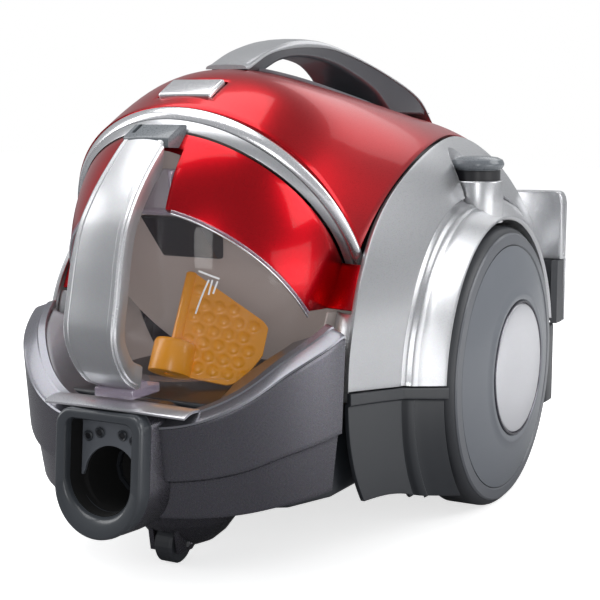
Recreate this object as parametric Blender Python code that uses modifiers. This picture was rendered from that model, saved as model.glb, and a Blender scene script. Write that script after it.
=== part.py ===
"""Canister vacuum cleaner with a lift-out dust bin, as separate sub-parts.

Frame: origin on the floor under the middle of the machine, +X to its right wheel as seen from the
hose inlet, +Y to the rear, +Z up. Lengths below are in millimetres; the helpers scale them to metres.
"""

from math import acos, asin, atan2, cos, pi, radians, sin

import bmesh
import bpy
from mathutils import Matrix, Vector

MM = 0.001
GAP = 0.4  # clearance between neighbouring pieces

# ---- driving dimensions ---------------------------------------------------------------------------
WHEEL_RADIUS = 92.0
AXLE_Y = 75.0
HUB_FACE_X = 137.0
TYRE_OUTER_X = 125.0
WHEEL_INNER_X = 98.0
HUB_CAP_RADIUS = 42.5
DISC_RADIUS = 79.3
ARCH_WELL_RADIUS = 96.0

BODY_SPLIT_Z = 110.0  # silver side shells above, dark chassis below
CHASSIS_FLOOR_Z = 45.0
DOME_BASE_Z = 165.0  # height where the dome's sides stand upright
SHELL_THICKNESS = 2.5

# Arch band: two half ellipses in two slanted planes y = offset - slope * z.
BAND_UPPER = {"offset": 16.4, "slope": 0.527, "half_width": 97.8, "height": 91.5, "base_z": 171.2}
BAND_LOWER = {"offset": 53.2, "slope": 0.75, "half_width": 85.6, "height": 70.5, "base_z": 179.0}

# Bin nose: an ellipsoid whose rear face is the slanted plane of the band's lower edge.
NOSE_CENTRE = Vector((0.0, -74.0, 168.5))
NOSE_TILT = atan2(0.8, -0.6)
NOSE_RADII = (85.0, 98.0, 90.0)  # across, up the slanted face, forwards
NOSE_UP = Vector((0.0, cos(NOSE_TILT), sin(NOSE_TILT)))
NOSE_FRONT = Vector((0.0, -sin(NOSE_TILT), cos(NOSE_TILT)))
BIN_WALL = 2.2
BIN_FLOOR_Z = 82.0
LID_LOW_Z = 150.0
FOOT_CENTRE_Y = -120.0
FOOT_RADII = (42.0, 38.0)
FOOT_LOW_Z = 92.0
FOOT_HIGH_Z = 113.0
LID_PLANE = {"offset_z": 30.4, "slope": -1.119}  # z = offset + slope * y, lid above and bin below
RECESS_HALF_WIDTH = 18.5

# Side shell outline (a superellipse seen from the side) and the groove round the wheel arch.
EAR_CENTRE = (58.0, 105.0)
EAR_RADII = (179.0, 132.0)
EAR_EXPONENT = 2.4
GROOVE_CENTRE = (75.0, 92.0)
GROOVE_RADII = (150.0, 125.0)
REAR_TRIM_Y = 194.0

# Compression plate axis, from the bin floor up and back.
PLATE_AXIS_POINT = Vector((0.0, -131.0, 109.0))
PLATE_AXIS = Vector((0.0, 0.42, 0.907)).normalized()

# Air path
DUCT_X = 48.0
DUCT_RADIUS = 15.0
DUCT_LOW_Z = 63.5
DUCT_EXIT_Z = 192.0
FILTER_CENTRE = Vector((-20.0, -66.0, 162.5))  # on the bin's slanted rear face
MOTOR_CENTRE = Vector((-20.0, 34.0, 128.0))

# Controls
PEDAL_CENTRE = (108.0, 67.0)
PEDAL_TRAVEL = 4.0
COLUMN_TOP_Z = 214.0
COLUMN_BASE_Z = 196.5

# Caster
SWIVEL_Y = -113.0
CASTER_TRAIL = 15.0  # the small wheel runs ahead of its swivel at rest
CASTER_RADIUS = 12.0

COLOURS = {
    "red_paint": ((0.55, 0.01, 0.02, 1), 0.2, 0.6),
    "silver_paint": ((0.72, 0.73, 0.75, 1), 0.3, 0.7),
    "gunmetal_paint": ((0.17, 0.16, 0.19, 1), 0.35, 0.6),
    "dark_plastic": ((0.09, 0.1, 0.12, 1), 0.4, 0.0),
    "black_plastic": ((0.02, 0.02, 0.025, 1), 0.45, 0.0),
    "wheel_grey": ((0.3, 0.31, 0.34, 1), 0.4, 0.1),
    "tyre_rubber": ((0.12, 0.13, 0.15, 1), 0.6, 0.0),
    "clear_plastic": ((0.8, 0.75, 0.82, 0.3), 0.05, 0.0),
    "orange_plastic": ((0.8, 0.35, 0.01, 1), 0.3, 0.0),
    "steel": ((0.6, 0.6, 0.62, 1), 0.3, 1.0),
    "foam": ((0.1, 0.1, 0.1, 1), 0.9, 0.0),
    "white_plastic": ((0.8, 0.8, 0.8, 1), 0.4, 0.0),
    "circuit_green": ((0.03, 0.2, 0.08, 1), 0.5, 0.0),
}


# ---- scene, materials and collections -------------------------------------------------------------
for old in list(bpy.data.objects):
    bpy.data.objects.remove(old, do_unlink=True)

PARTS = bpy.data.collections.new("canister_vacuum_cleaner")
CUTTERS = bpy.data.collections.new("cutters")
bpy.context.scene.collection.children.link(PARTS)
bpy.context.scene.collection.children.link(CUTTERS)
CUTTERS.hide_render = True
VACUUM = bpy.data.objects.new("vacuum_frame", None)
PARTS.objects.link(VACUUM)


def material(slot):
    """The Principled material of one colour slot, made once."""
    if slot in bpy.data.materials:
        return bpy.data.materials[slot]
    colour, roughness, metallic = COLOURS[slot]
    made = bpy.data.materials.new(slot)
    made.use_nodes = True
    shader = made.node_tree.nodes["Principled BSDF"]
    shader.inputs["Base Color"].default_value = colour
    shader.inputs["Roughness"].default_value = roughness
    shader.inputs["Metallic"].default_value = metallic
    return made


# ---- curve formulas -------------------------------------------------------------------------------
def smooth_through(points, x):
    """A smooth curve through (x, value) points, flat beyond both ends."""
    if x <= points[0][0]:
        return points[0][1]
    if x >= points[-1][0]:
        return points[-1][1]
    slopes = []
    for i in range(len(points)):
        before = points[max(i - 1, 0)]
        after = points[min(i + 1, len(points) - 1)]
        slopes.append((after[1] - before[1]) / (after[0] - before[0]))
    i = max(k for k in range(len(points) - 1) if points[k][0] <= x)
    (x0, v0), (x1, v1) = points[i], points[i + 1]
    span = x1 - x0
    t = (x - x0) / span
    start = (2 * t**3 - 3 * t**2 + 1) * v0 + (t**3 - 2 * t**2 + t) * span * slopes[i]
    end = (3 * t**2 - 2 * t**3) * v1 + (t**3 - t**2) * span * slopes[i + 1]
    return start + end


def signed_power(value, power):
    return abs(value) ** power * (1 if value >= 0 else -1)


def crest(y):
    """Height of the dome's centre line."""
    return smooth_through(
        [(-122, 262.3), (-100, 274), (-80, 281.5), (-60, 283.5), (-30, 280), (40, 268.5),
         (97, 259), (152, 250), (178, 238), (194, 218), (200, 196)], y)


def dome_half_width(y):
    return smooth_through([(-122, 94), (-74, 98), (0, 107), (60, 111), (140, 108), (194, 98)], y)


def dome_exponent(y):
    return smooth_through([(-110, 2.0), (0, 2.3), (140, 2.4)], y)


def dome_x(y, z):
    """Half width of the dome at one height."""
    rise = min(max((z - DOME_BASE_Z) / (crest(y) - DOME_BASE_Z), 0.0), 1.0)
    n = dome_exponent(y)
    return dome_half_width(y) * max(1 - rise**n, 0.0) ** (1 / n)


def dome_point(y, angle, raised=0.0):
    """Point of the dome's section at y, angle 0 at +X and pi at -X, moved outwards by raised."""
    power = 2 / dome_exponent(y)
    x = (dome_half_width(y) + raised) * signed_power(cos(angle), power)
    z = DOME_BASE_Z + (crest(y) + raised - DOME_BASE_Z) * sin(angle) ** power
    return Vector((x, y, z))


def slanted_dome_point(start_y, slope, angle, raised=0.0):
    """Point of the dome in the plane y = start_y - slope * (z - crest of the band)."""
    y = start_y
    for _ in range(40):
        point = dome_point(y, angle, raised)
        y = 0.5 * y + 0.5 * (start_y - slope * (point.z - 262.3))
    return dome_point(y, angle, raised)


def outside_ear(y, z, margin=0.0):
    """Above zero where a side-view point lies outside the side shell's outline."""
    dy = abs(y - EAR_CENTRE[0]) / (EAR_RADII[0] + margin)
    dz = abs(z - EAR_CENTRE[1]) / (EAR_RADII[1] + margin)
    return dy**EAR_EXPONENT + dz**EAR_EXPONENT - 1


def side_x(y, z):
    """Half width of the silver side shells, which stand a little proud of the dome."""
    flare = min(max((218 - z) / 80, 0.0), 1.0)
    return dome_x(y, z) + 1.2 + 7 * flare * flare * (3 - 2 * flare)


# ---- mesh helpers ---------------------------------------------------------------------------------
def add_object(name, mesh, slot, origin=(0, 0, 0), collection=PARTS, parent=VACUUM):
    thing = bpy.data.objects.new(name, mesh)
    thing.location = Vector(origin) * MM
    collection.objects.link(thing)
    if collection is PARTS:
        mesh.materials.append(material(slot))
        thing.parent = parent
        mesh.shade_smooth()
        mesh.set_sharp_from_angle(angle=radians(35))
    else:
        thing.display_type = "WIRE"
        thing.hide_render = True
    return thing


def mesh_from(build, name, origin=(0, 0, 0)):
    """A mesh filled by build(bm) in world millimetres, stored about origin in metres."""
    bm = bmesh.new()
    build(bm)
    bmesh.ops.transform(bm, matrix=Matrix.Scale(MM, 4) @ Matrix.Translation(-Vector(origin)),
                        verts=bm.verts)
    bmesh.ops.recalc_face_normals(bm, faces=bm.faces)
    mesh = bpy.data.meshes.new(name)
    bm.to_mesh(mesh)
    bm.free()
    return mesh


def box(name, low, high, slot, origin=(0, 0, 0), tilt=0.0, bevel=0.0, collection=PARTS):
    """A box between two corners, turned by tilt about the X line through its centre."""
    low, high = Vector(low), Vector(high)

    def build(bm):
        bmesh.ops.create_cube(bm, size=1)
        size = high - low
        place = Matrix.Translation((low + high) / 2) @ Matrix.Rotation(tilt, 4, "X")
        bmesh.ops.transform(bm, matrix=place @ Matrix.Diagonal((*size, 1)), verts=bm.verts)

    thing = add_object(name, mesh_from(build, name, origin), slot, origin, collection)
    if bevel:
        rounded = thing.modifiers.new("rounded", "BEVEL")
        rounded.width = bevel * MM
        rounded.segments = 2
    return thing


def cylinder(name, start, end, radius, slot, origin=(0, 0, 0), sides=24, end_radius=None,
             collection=PARTS):
    start, end = Vector(start), Vector(end)
    along = end - start

    def build(bm):
        turn = along.to_track_quat("Z", "Y").to_matrix().to_4x4()
        bmesh.ops.create_cone(bm, cap_ends=True, segments=sides, radius1=radius,
                              radius2=radius if end_radius is None else end_radius,
                              depth=along.length)
        bmesh.ops.transform(bm, matrix=Matrix.Translation((start + end) / 2) @ turn,
                            verts=bm.verts)

    return add_object(name, mesh_from(build, name, origin), slot, origin, collection)


def turned(name, profile, slot, origin, axis, steps=28, collection=PARTS):
    """A closed profile of (radius, distance along axis), turned about the axis through origin.

    The profile runs down its outer side and back up its inner side.
    """
    mesh = bpy.data.meshes.new(name)
    points = [(r * MM, 0, h * MM) for r, h in profile]
    closed = profile[0][0] > 0 or profile[-1][0] > 0
    count = len(points)
    edges = [(i, i + 1) for i in range(count - 1)]
    if closed:
        edges.append((count - 1, 0))
    mesh.from_pydata(points, edges, [])
    thing = bpy.data.objects.new(name, mesh)
    thing.location = Vector(origin) * MM
    thing.rotation_euler = Vector(axis).to_track_quat("Z", "Y").to_euler()
    collection.objects.link(thing)
    spin = thing.modifiers.new("turned", "SCREW")
    spin.steps = steps
    spin.render_steps = steps
    spin.use_merge_vertices = True
    spin.merge_threshold = 0.00005
    spin.use_smooth_shade = True
    if collection is PARTS:
        mesh.materials.append(material(slot))
        thing.parent = VACUUM
    else:
        thing.display_type = "WIRE"
        thing.hide_render = True
    return thing


def patch(name, point, rows, columns, slot, thickness, behind=(0, 30, 120)):
    """A curved panel: the grid of point(u, v) for u, v in 0..1, thickened towards behind."""
    bm = bmesh.new()
    grid = [[bm.verts.new(point(i / rows, j / columns)) for j in range(columns + 1)]
            for i in range(rows + 1)]
    for i in range(rows):
        for j in range(columns):
            bm.faces.new((grid[i][j], grid[i + 1][j], grid[i + 1][j + 1], grid[i][j + 1]))
    bm.normal_update()
    facing = sum(f.normal.dot(f.calc_center_median() - Vector(behind)) for f in bm.faces)
    if facing < 0:
        bmesh.ops.reverse_faces(bm, faces=bm.faces)
    bmesh.ops.transform(bm, matrix=Matrix.Scale(MM, 4), verts=bm.verts)
    mesh = bpy.data.meshes.new(name)
    bm.to_mesh(mesh)
    bm.free()
    thing = add_object(name, mesh, slot)
    wall = thing.modifiers.new("wall", "SOLIDIFY")
    wall.thickness = thickness * MM
    wall.offset = -1
    wall.use_even_offset = True
    return thing


def loft(name, rings, slot, origin=(0, 0, 0), closed=False, collection=PARTS):
    """A solid through rings of equal point counts; closed joins the last ring to the first."""

    def build(bm):
        made = [[bm.verts.new(p) for p in ring] for ring in rings]
        count = len(rings[0])
        pairs = list(zip(made, made[1:])) + ([(made[-1], made[0])] if closed else [])
        for a, b in pairs:
            for k in range(count):
                m = (k + 1) % count
                bm.faces.new((a[k], a[m], b[m], b[k]))
        if not closed:
            bm.faces.new(made[0])
            bm.faces.new(reversed(made[-1]))

    return add_object(name, mesh_from(build, name, origin), slot, origin, collection)


def boolean(target, other, operation="DIFFERENCE"):
    step = target.modifiers.new(operation.lower() + "_" + other.name, "BOOLEAN")
    step.operation = operation
    step.solver = "EXACT"
    step.object = other
    return step


def cutting_box(name, low, high, tilt=0.0):
    return box(name, low, high, None, tilt=tilt, collection=CUTTERS)


def cutting_cylinder(name, start, end, radius, sides=24):
    return cylinder(name, start, end, radius, None, sides=sides, collection=CUTTERS)


def extruded(name, outline, low, high, axis, slot, collection=PARTS, origin=(0, 0, 0)):
    """A flat outline pushed out along an axis (0 X, 1 Y, 2 Z) from low to high."""
    others = [k for k in range(3) if k != axis]

    def corner(p, level):
        at = [0.0, 0.0, 0.0]
        at[axis] = level
        at[others[0]], at[others[1]] = p
        return at

    rings = [[corner(p, level) for p in outline] for level in (low, high)]
    return loft(name, rings, slot, origin, collection=collection)


def mirrored(points, side):
    return [Vector((side * p[0], p[1], p[2])) for p in points]


# ---- red top cover and arch band ------------------------------------------------------------------
COVER_ROWS = 14
COVER_COLUMNS = 14


def cover_row(u):
    """Start and slant of the cover's row u, from the arch band to the rear edge."""
    start_y = -122.0 + (REAR_TRIM_Y + 122.0) * u
    slope = BAND_UPPER["slope"] * max(1 - 1.6 * u, 0.0) ** 1.5
    return start_y, slope


def cover_edge_angle(u, margin):
    """Section angle where row u meets the side shell's outline."""
    start_y, slope = cover_row(u)
    low, high = 0.0, pi / 2
    for _ in range(40):
        middle = (low + high) / 2
        p = slanted_dome_point(start_y, slope, middle)
        if outside_ear(p.y, p.z, margin) > 0:
            high = middle
        else:
            low = middle
    return high


def cover_point(u, v):
    start_y, slope = cover_row(u)
    edge = cover_edge_angle(u, 1.0)
    return slanted_dome_point(start_y, slope, edge + (pi - 2 * edge) * v)


def make_top_cover():
    cover = patch("top_cover", cover_point, COVER_ROWS, COVER_COLUMNS, "red_paint",
                  SHELL_THICKNESS)
    boolean(cover, cutting_box("button_hole", (-18.6, -113.6, 262), (18.6, -92.4, 286),
                               tilt=BUTTON_TILT))
    return cover


BUTTON_CENTRE = Vector((0, -103.0, 271.6))
BUTTON_TILT = radians(27)
BUTTON_SIZE = (35.0, 19.0, 8.0)
BUTTON_TRAVEL = 3.0


def button_normal():
    return Vector((0, -sin(BUTTON_TILT), cos(BUTTON_TILT)))


def make_open_button():
    half = Vector(BUTTON_SIZE) / 2
    middle = BUTTON_CENTRE - button_normal() * 2.0
    box("open_button", middle - half, middle + half, "silver_paint", origin=middle,
        tilt=BUTTON_TILT, bevel=1.0)
    base = middle - button_normal() * (half.z + 0.5)
    foot = base - button_normal() * 9.0
    spring_coil("open_button_spring", base, foot, 4.0, 0.6, 3)


def spring_coil(name, top, bottom, radius, wire, turns):
    """A compression spring between two points, as a bevelled curve."""
    top, bottom = Vector(top), Vector(bottom)
    along = top - bottom
    frame = along.to_track_quat("Z", "Y").to_matrix()
    steps = turns * 8
    curve = bpy.data.curves.new(name, "CURVE")
    curve.dimensions = "3D"
    curve.bevel_depth = wire * MM
    curve.bevel_resolution = 1
    curve.use_fill_caps = True
    line = curve.splines.new("POLY")
    line.points.add(steps)
    for k in range(steps + 1):
        angle = 2 * pi * turns * k / steps
        height = wire + (along.length - 2 * wire) * k / steps
        at = frame @ Vector((radius * cos(angle), radius * sin(angle), height))
        line.points[k].co = (*(at * MM), 1)
    thing = bpy.data.objects.new(name, curve)
    thing.location = bottom * MM
    curve.materials.append(material("steel"))
    PARTS.objects.link(thing)
    thing.parent = VACUUM
    return thing


def ellipse_in_plane(shape, angle, scale=1.0):
    """Point of a slanted ellipse; below its base the sides run straight down."""
    z = shape["base_z"] + shape["height"] * scale * sin(angle)
    x = shape["half_width"] * scale * (cos(angle) if sin(angle) > 0 else signed_power(
        cos(angle), 0.0))
    return Vector((x, shape["offset"] - shape["slope"] * z, z))


def make_arch_band():
    rings = []
    first = radians(-8)
    count = 30
    for k in range(count + 1):
        angle = first + (pi - 2 * first) * k / count
        outer = ellipse_in_plane(BAND_UPPER, angle, 0.992)
        inner = ellipse_in_plane(BAND_LOWER, angle)
        inward = (Vector((0, -74, 168)) - outer).normalized()
        outer = outer - Vector((0, 1.0, 0))
        groove = outer.lerp(inner, 0.55) + Vector((0, 0.5, 0))
        inner_back = inner + inward * 1.5 + Vector((0, 3.4, 0))
        outer_back = outer + inward * 3.0 - Vector((0, 0.4 + 1.4 * max(sin(angle), 0), 0))
        rings.append([outer, groove, inner, inner_back, outer_back])
    loft("arch_band", rings, "silver_paint")


# ---- dust bin -------------------------------------------------------------------------------------
def closed_by_plane(bm, point, normal):
    """Cuts away what lies beyond a plane and fills the cut."""
    cut = bmesh.ops.bisect_plane(bm, geom=bm.verts[:] + bm.edges[:] + bm.faces[:],
                                 plane_co=point, plane_no=normal, clear_outer=True)
    rim = [e for e in cut["geom_cut"] if isinstance(e, bmesh.types.BMEdge)]
    bmesh.ops.contextual_create(bm, geom=rim)


def half_nose(name, slot, shrink=0.0, start=0.0, collection=PARTS, foot=None, sides=28, rings=14):
    """The nose ellipsoid in front of its slanted rear face, with a flat foot if one is given."""

    def build(bm):
        bmesh.ops.create_uvsphere(bm, u_segments=sides, v_segments=rings, radius=1)
        radii = [r - shrink for r in NOSE_RADII]
        bmesh.ops.transform(bm, matrix=Matrix.Diagonal((*radii, 1)), verts=bm.verts)
        closed_by_plane(bm, (0, 0, start), (0, 0, -1))
        place = Matrix.Translation(NOSE_CENTRE) @ Matrix.Rotation(NOSE_TILT, 4, "X")
        bmesh.ops.transform(bm, matrix=place, verts=bm.verts)
        if foot is not None:
            closed_by_plane(bm, (0, 0, foot), (0, 0, -1))

    return add_object(name, mesh_from(build, name), slot, collection=collection)


def along_plate_axis(distance):
    return PLATE_AXIS_POINT + PLATE_AXIS * distance


def lid_plane_z(y):
    return LID_PLANE["offset_z"] + LID_PLANE["slope"] * y


def lid_region(name, clearance):
    """Everything on the lid's side of the split: above the lid plane and above its lowest edge."""
    low_z = LID_LOW_Z + clearance
    low_y = (low_z - clearance - LID_PLANE["offset_z"]) / LID_PLANE["slope"]
    outline = [(low_y, low_z), (-300, lid_plane_z(-300) + clearance), (-300, 500), (90, 500),
               (90, low_z)]
    return extruded(name, outline, -160, 160, 0, None, CUTTERS)


def foot_ring(name, margin, low, high, collection):
    """The oval foot under the bin, as a solid of its outer outline moved out by margin."""
    outline = [((FOOT_RADII[0] + margin) * cos(2 * pi * k / 28),
                FOOT_CENTRE_Y + (FOOT_RADII[1] + margin) * sin(2 * pi * k / 28))
               for k in range(28)]
    return extruded(name, outline, low, high, 2, None, collection)


def make_bin():
    body = half_nose("bin_body", "clear_plastic", start=1.0, foot=BIN_FLOOR_Z)
    boolean(body, foot_ring("bin_foot", 0.0, FOOT_LOW_Z, FOOT_HIGH_Z, CUTTERS), "UNION")
    boolean(body, foot_ring("bin_foot_hollow", -2.5, FOOT_LOW_Z - 30, FOOT_HIGH_Z - 12, CUTTERS))
    boolean(body, half_nose("bin_refill", None, shrink=0.1, start=1.1, collection=CUTTERS,
                            foot=BIN_FLOOR_Z + 0.1), "UNION")
    inner = half_nose("bin_hollow", None, shrink=BIN_WALL, start=3.4, collection=CUTTERS,
                      foot=BIN_FLOOR_Z + 2.4)
    boolean(body, inner)
    boolean(body, lid_region("bin_top_cut", -0.4))
    bore = cutting_cylinder("bin_shaft_bore", along_plate_axis(-30), along_plate_axis(0), 6.0, 16)
    boolean(body, bore)
    inlet = cutting_cylinder("bin_inlet_hole", (DUCT_X, -60, DUCT_EXIT_Z),
                             (DUCT_X, -118, DUCT_EXIT_Z), 14, 20)
    boolean(body, inlet)
    outlet = cutting_cylinder("bin_outlet_hole", FILTER_CENTRE + NOSE_FRONT * 20,
                              FILTER_CENTRE - NOSE_FRONT * 20, 27, 24)
    boolean(body, outlet)

    lid = half_nose("bin_lid", "red_paint", start=0.8)
    boolean(lid, half_nose("lid_hollow", None, shrink=BIN_WALL, start=-2.0, collection=CUTTERS))
    boolean(lid, lid_region("lid_keep", 0.0), "INTERSECT")
    boolean(lid, cutting_box("lid_recess_cut", (-RECESS_HALF_WIDTH, -230, 150),
                             (RECESS_HALF_WIDTH, -141, 300)))
    liner = box("lid_recess_liner", (-17.8, -152, 204), (17.8, -131, 228), "clear_plastic")
    boolean(liner, cutting_box("liner_hollow", (-15.8, -170, 206), (15.8, -133, 250)))


def make_bin_handle():
    front = [(-150, 247), (-163, 236), (-174.5, 225), (-184, 214), (-192.5, 201), (-198.5, 184),
             (-202.5, 166), (-206, 148), (-204, 134), (-197, 121), (-186, 110), (-172, 102),
             (-159, 98.5)]
    half_widths = [15.5, 15.5, 16, 16.5, 17.3, 18, 18.5, 18.5, 18, 17.5, 16.5, 16.5, 16.5]
    thickness = 12.0
    rings = []
    for k, (y, z) in enumerate(front):
        before = front[max(k - 1, 0)]
        after = front[min(k + 1, len(front) - 1)]
        along = Vector((0, after[0] - before[0], after[1] - before[1])).normalized()
        out = Vector((0, along.z, -along.y))
        w = half_widths[k]
        centre = Vector((0, y, z))
        section = [(-w + 3, 0), (w - 3, 0), (w, -2.5), (w - 1.5, -thickness),
                   (-w + 1.5, -thickness), (-w, -2.5)]
        rings.append([centre + Vector((a, 0, 0)) + out * b for a, b in section])
    handle = loft("bin_handle", rings, "silver_paint")
    clear = half_nose("handle_seat_cut", None, shrink=-GAP, start=-5.0, collection=CUTTERS)
    boolean(handle, clear)
    boolean(handle, foot_ring("handle_foot_room", GAP, FOOT_LOW_Z - 30, FOOT_HIGH_Z + GAP, CUTTERS))
    boolean(handle, cutting_box("handle_top_cut", (-40, -156, 228), (40, -100, 300)))
    latch = box("bin_latch", (-16.5, -155.6, 243), (16.5, -136.5, 256.5), "dark_plastic",
                bevel=1.5)
    boolean(latch, clear)


def make_compression_plate():
    radial = Vector((cos(radians(28)), sin(radians(28)), 0))
    radial = (radial - PLATE_AXIS * radial.dot(PLATE_AXIS)).normalized()
    across = PLATE_AXIS.cross(radial)
    outline = [(0, 3), (38, 3), (43, 9), (43, 48), (40, 52), (3, 62), (0, 62)]
    half = 1.6
    rings = []
    for side in (-half, half):
        rings.append([PLATE_AXIS_POINT + radial * (r - 1) + PLATE_AXIS * (h + 1) + across * side
                      for r, h in outline])
    plate = loft("compression_plate", rings, "orange_plastic", origin=PLATE_AXIS_POINT)
    post = cylinder("plate_post", along_plate_axis(5), along_plate_axis(64), 3.4, None,
                    sides=12, collection=CUTTERS)
    boolean(plate, post, "UNION")
    hub = cylinder("plate_hub", along_plate_axis(2.2), along_plate_axis(22), 12.5, None,
                   sides=20, collection=CUTTERS)
    boolean(plate, hub, "UNION")
    stem = cylinder("plate_stem", along_plate_axis(-11.5), along_plate_axis(6), 5.0, None,
                    sides=12, collection=CUTTERS)
    boolean(plate, stem, "UNION")
    cylinder("plate_coupling", along_plate_axis(-19.5), along_plate_axis(-13), 8.0,
             "white_plastic", origin=along_plate_axis(-13), sides=16)
    cylinder("plate_drive_motor", along_plate_axis(-27), along_plate_axis(-20), 13.0, "steel",
             sides=20)
    box("cyclone_guide", (-24, -127, 186), (24, -104, 201), "black_plastic", bevel=2.0)


# ---- front: bumper, cradle and hose inlet ---------------------------------------------------------
NOSE_PLAN_Y = -95.0
NOSE_PLAN_EXPONENT = 2.6
RIM_HEIGHT = [(-187, 92), (-180, 96), (-168, 106), (-149, 123), (-119, 138.5)]
STEP_HEIGHT = [(-187, 63), (-168, 70), (-150, 78), (-118, 85)]
BOTTOM_HEIGHT = [(-187, 41.5), (-168, 45), (-150, 48.5), (-118, 52)]


def bumper_ring(angle, half_width, depth, heights, lift=0.0):
    """Point of the bumper's plan outline at one level; depth is measured forwards."""
    power = 2 / NOSE_PLAN_EXPONENT
    x = half_width * signed_power(cos(angle), power)
    full_y = NOSE_PLAN_Y - 92.0 * abs(sin(angle)) ** power
    y = NOSE_PLAN_Y - depth * abs(sin(angle)) ** power
    return Vector((x, y, smooth_through(heights, full_y) + lift))


def bumper_levels():
    return [(97.5, 81.5, BOTTOM_HEIGHT, 0.0), (101.0, 85.5, STEP_HEIGHT, -1.2),
            (103.0, 88.0, STEP_HEIGHT, 1.0), (106.0, 92.0, RIM_HEIGHT, 0.0),
            (104.0, 90.0, RIM_HEIGHT, 1.6), (95.0, 80.5, RIM_HEIGHT, 5.0)]


def bumper_point(u, v):
    level = bumper_levels()[round(u * 5)]
    first = 0.26
    return bumper_ring(first + (pi - 2 * first) * v, *level)


def make_bumper():
    bumper = patch("front_bumper", bumper_point, 5, 30, "gunmetal_paint", SHELL_THICKNESS)
    opening = cutting_box("bumper_opening", (-24, -230, 39), (24, -150, 84))
    boolean(bumper, opening)


def cradle_point(u, v):
    first = 0.28
    angle = first + (pi - 2 * first) * v
    outer = bumper_ring(angle, 93.6, 79.0, RIM_HEIGHT, 3.4)
    inner = bumper_ring(angle, 93.6, 79.0, RIM_HEIGHT, -4.0)
    low, high = 0.2, 1.0
    for _ in range(40):
        middle = (low + high) / 2
        at = Vector((inner.x * middle, NOSE_PLAN_Y + (inner.y - NOSE_PLAN_Y) * middle, inner.z))
        if inside_nose(at, 2.0):
            low = middle
        else:
            high = middle
    seat = Vector((inner.x * high, NOSE_PLAN_Y + (inner.y - NOSE_PLAN_Y) * high, inner.z))
    return outer.lerp(seat, u)


def inside_nose(point, margin):
    offset = point - NOSE_CENTRE
    across, up, forward = offset.x, offset.dot(NOSE_UP), offset.dot(NOSE_FRONT)
    a, b, c = (r + margin for r in NOSE_RADII)
    return (across / a) ** 2 + (up / b) ** 2 + (forward / c) ** 2 < 1


def make_cradle():
    cradle = patch("bin_cradle", cradle_point, 2, 26, "silver_paint", 2.0,
                   behind=(0, -95, -100))
    boolean(cradle, foot_ring("cradle_foot_room", 1.5, FOOT_LOW_Z - 30, FOOT_HIGH_Z, CUTTERS))


def inlet_outline(half_width, low, high, corner=8.0):
    """D shape with a flat top and a round bottom, as (x, z) points anticlockwise."""
    points = []
    centre_z = low + half_width
    for k in range(13):
        angle = pi + pi * k / 12
        points.append((half_width * cos(angle), centre_z + half_width * sin(angle)))
    for k in range(4):
        angle = (pi / 2) * k / 3
        points.append((half_width - corner + corner * cos(angle),
                       high - corner + corner * sin(angle)))
    for k in range(4):
        angle = pi / 2 + (pi / 2) * k / 3
        points.append((-half_width + corner + corner * cos(angle),
                       high - corner + corner * sin(angle)))
    return points


INLET_FACE_Y = -200.0
INLET_LEAN = 0.08  # the face's run back per unit of height


def inlet_ring(outline, depth):
    return [Vector((x, INLET_FACE_Y + depth + INLET_LEAN * (z - 34), z)) for x, z in outline]


def make_hose_inlet():
    outer = inlet_outline(28.0, 34.0, 103.0, 9.0)
    inner = inlet_outline(21.0, 46.0, 97.5, 4.5)
    collar = loft("hose_inlet_collar", [inlet_ring(outer, 0), inlet_ring(outer, 8)],
                  "dark_plastic")
    boolean(collar, loft("inlet_opening_cut", [inlet_ring(inner, -6), inlet_ring(inner, 14)],
                         None, collection=CUTTERS))
    neck_outer = inlet_outline(22.0, 41.0, 82.0, 6.0)
    neck_inner = inlet_outline(19.5, 44.0, 79.0, 4.0)
    neck = loft("hose_inlet_neck", [inlet_ring(neck_outer, 8.5), inlet_ring(neck_outer, 34)],
                "dark_plastic")
    boolean(neck, loft("neck_hollow", [inlet_ring(neck_inner, 0), inlet_ring(neck_inner, 30)],
                       None, collection=CUTTERS))
    boolean(neck, cutting_cylinder("neck_bore", (0, -210, DUCT_LOW_Z), (0, -140, DUCT_LOW_Z),
                                   DUCT_RADIUS - 2, 20))
    tube("inlet_duct", [(0, -161.5, DUCT_LOW_Z), (0, -100, DUCT_LOW_Z), (12, -50, DUCT_LOW_Z + 1),
                        (34, -8, 73), (DUCT_X, 4, 104), (DUCT_X, -12, 138),
                        (DUCT_X, -46, 172), (DUCT_X, -70, DUCT_EXIT_Z), (DUCT_X, -83, 194)],
         DUCT_RADIUS, 2.0, "dark_plastic")


def tube(name, points, radius, wall, slot):
    """A bent tube with open ends, through smooth points."""

    def spline_at(t):
        i = min(int(t), len(points) - 2)
        f = t - i
        p0, p1, p2, p3 = (Vector(points[min(max(i + k, 0), len(points) - 1)])
                          for k in (-1, 0, 1, 2))
        return 0.5 * ((2 * p1) + (p2 - p0) * f + (2 * p0 - 5 * p1 + 4 * p2 - p3) * f * f
                      + (3 * p1 - p0 - 3 * p2 + p3) * f**3)

    steps = 14
    sides = 12
    centres = [spline_at((len(points) - 1) * k / steps) for k in range(steps + 1)]
    outer, inner = [], []
    for k, centre in enumerate(centres):
        along = (centres[min(k + 1, steps)] - centres[max(k - 1, 0)]).normalized()
        turn = along.to_track_quat("Z", "Y").to_matrix()
        for rings, r in ((outer, radius), (inner, radius - wall)):
            rings.append([centre + turn @ Vector((r * cos(2 * pi * j / sides),
                                                  r * sin(2 * pi * j / sides), 0))
                          for j in range(sides)])
    return loft(name, outer + inner[::-1], slot, closed=True)


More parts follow.
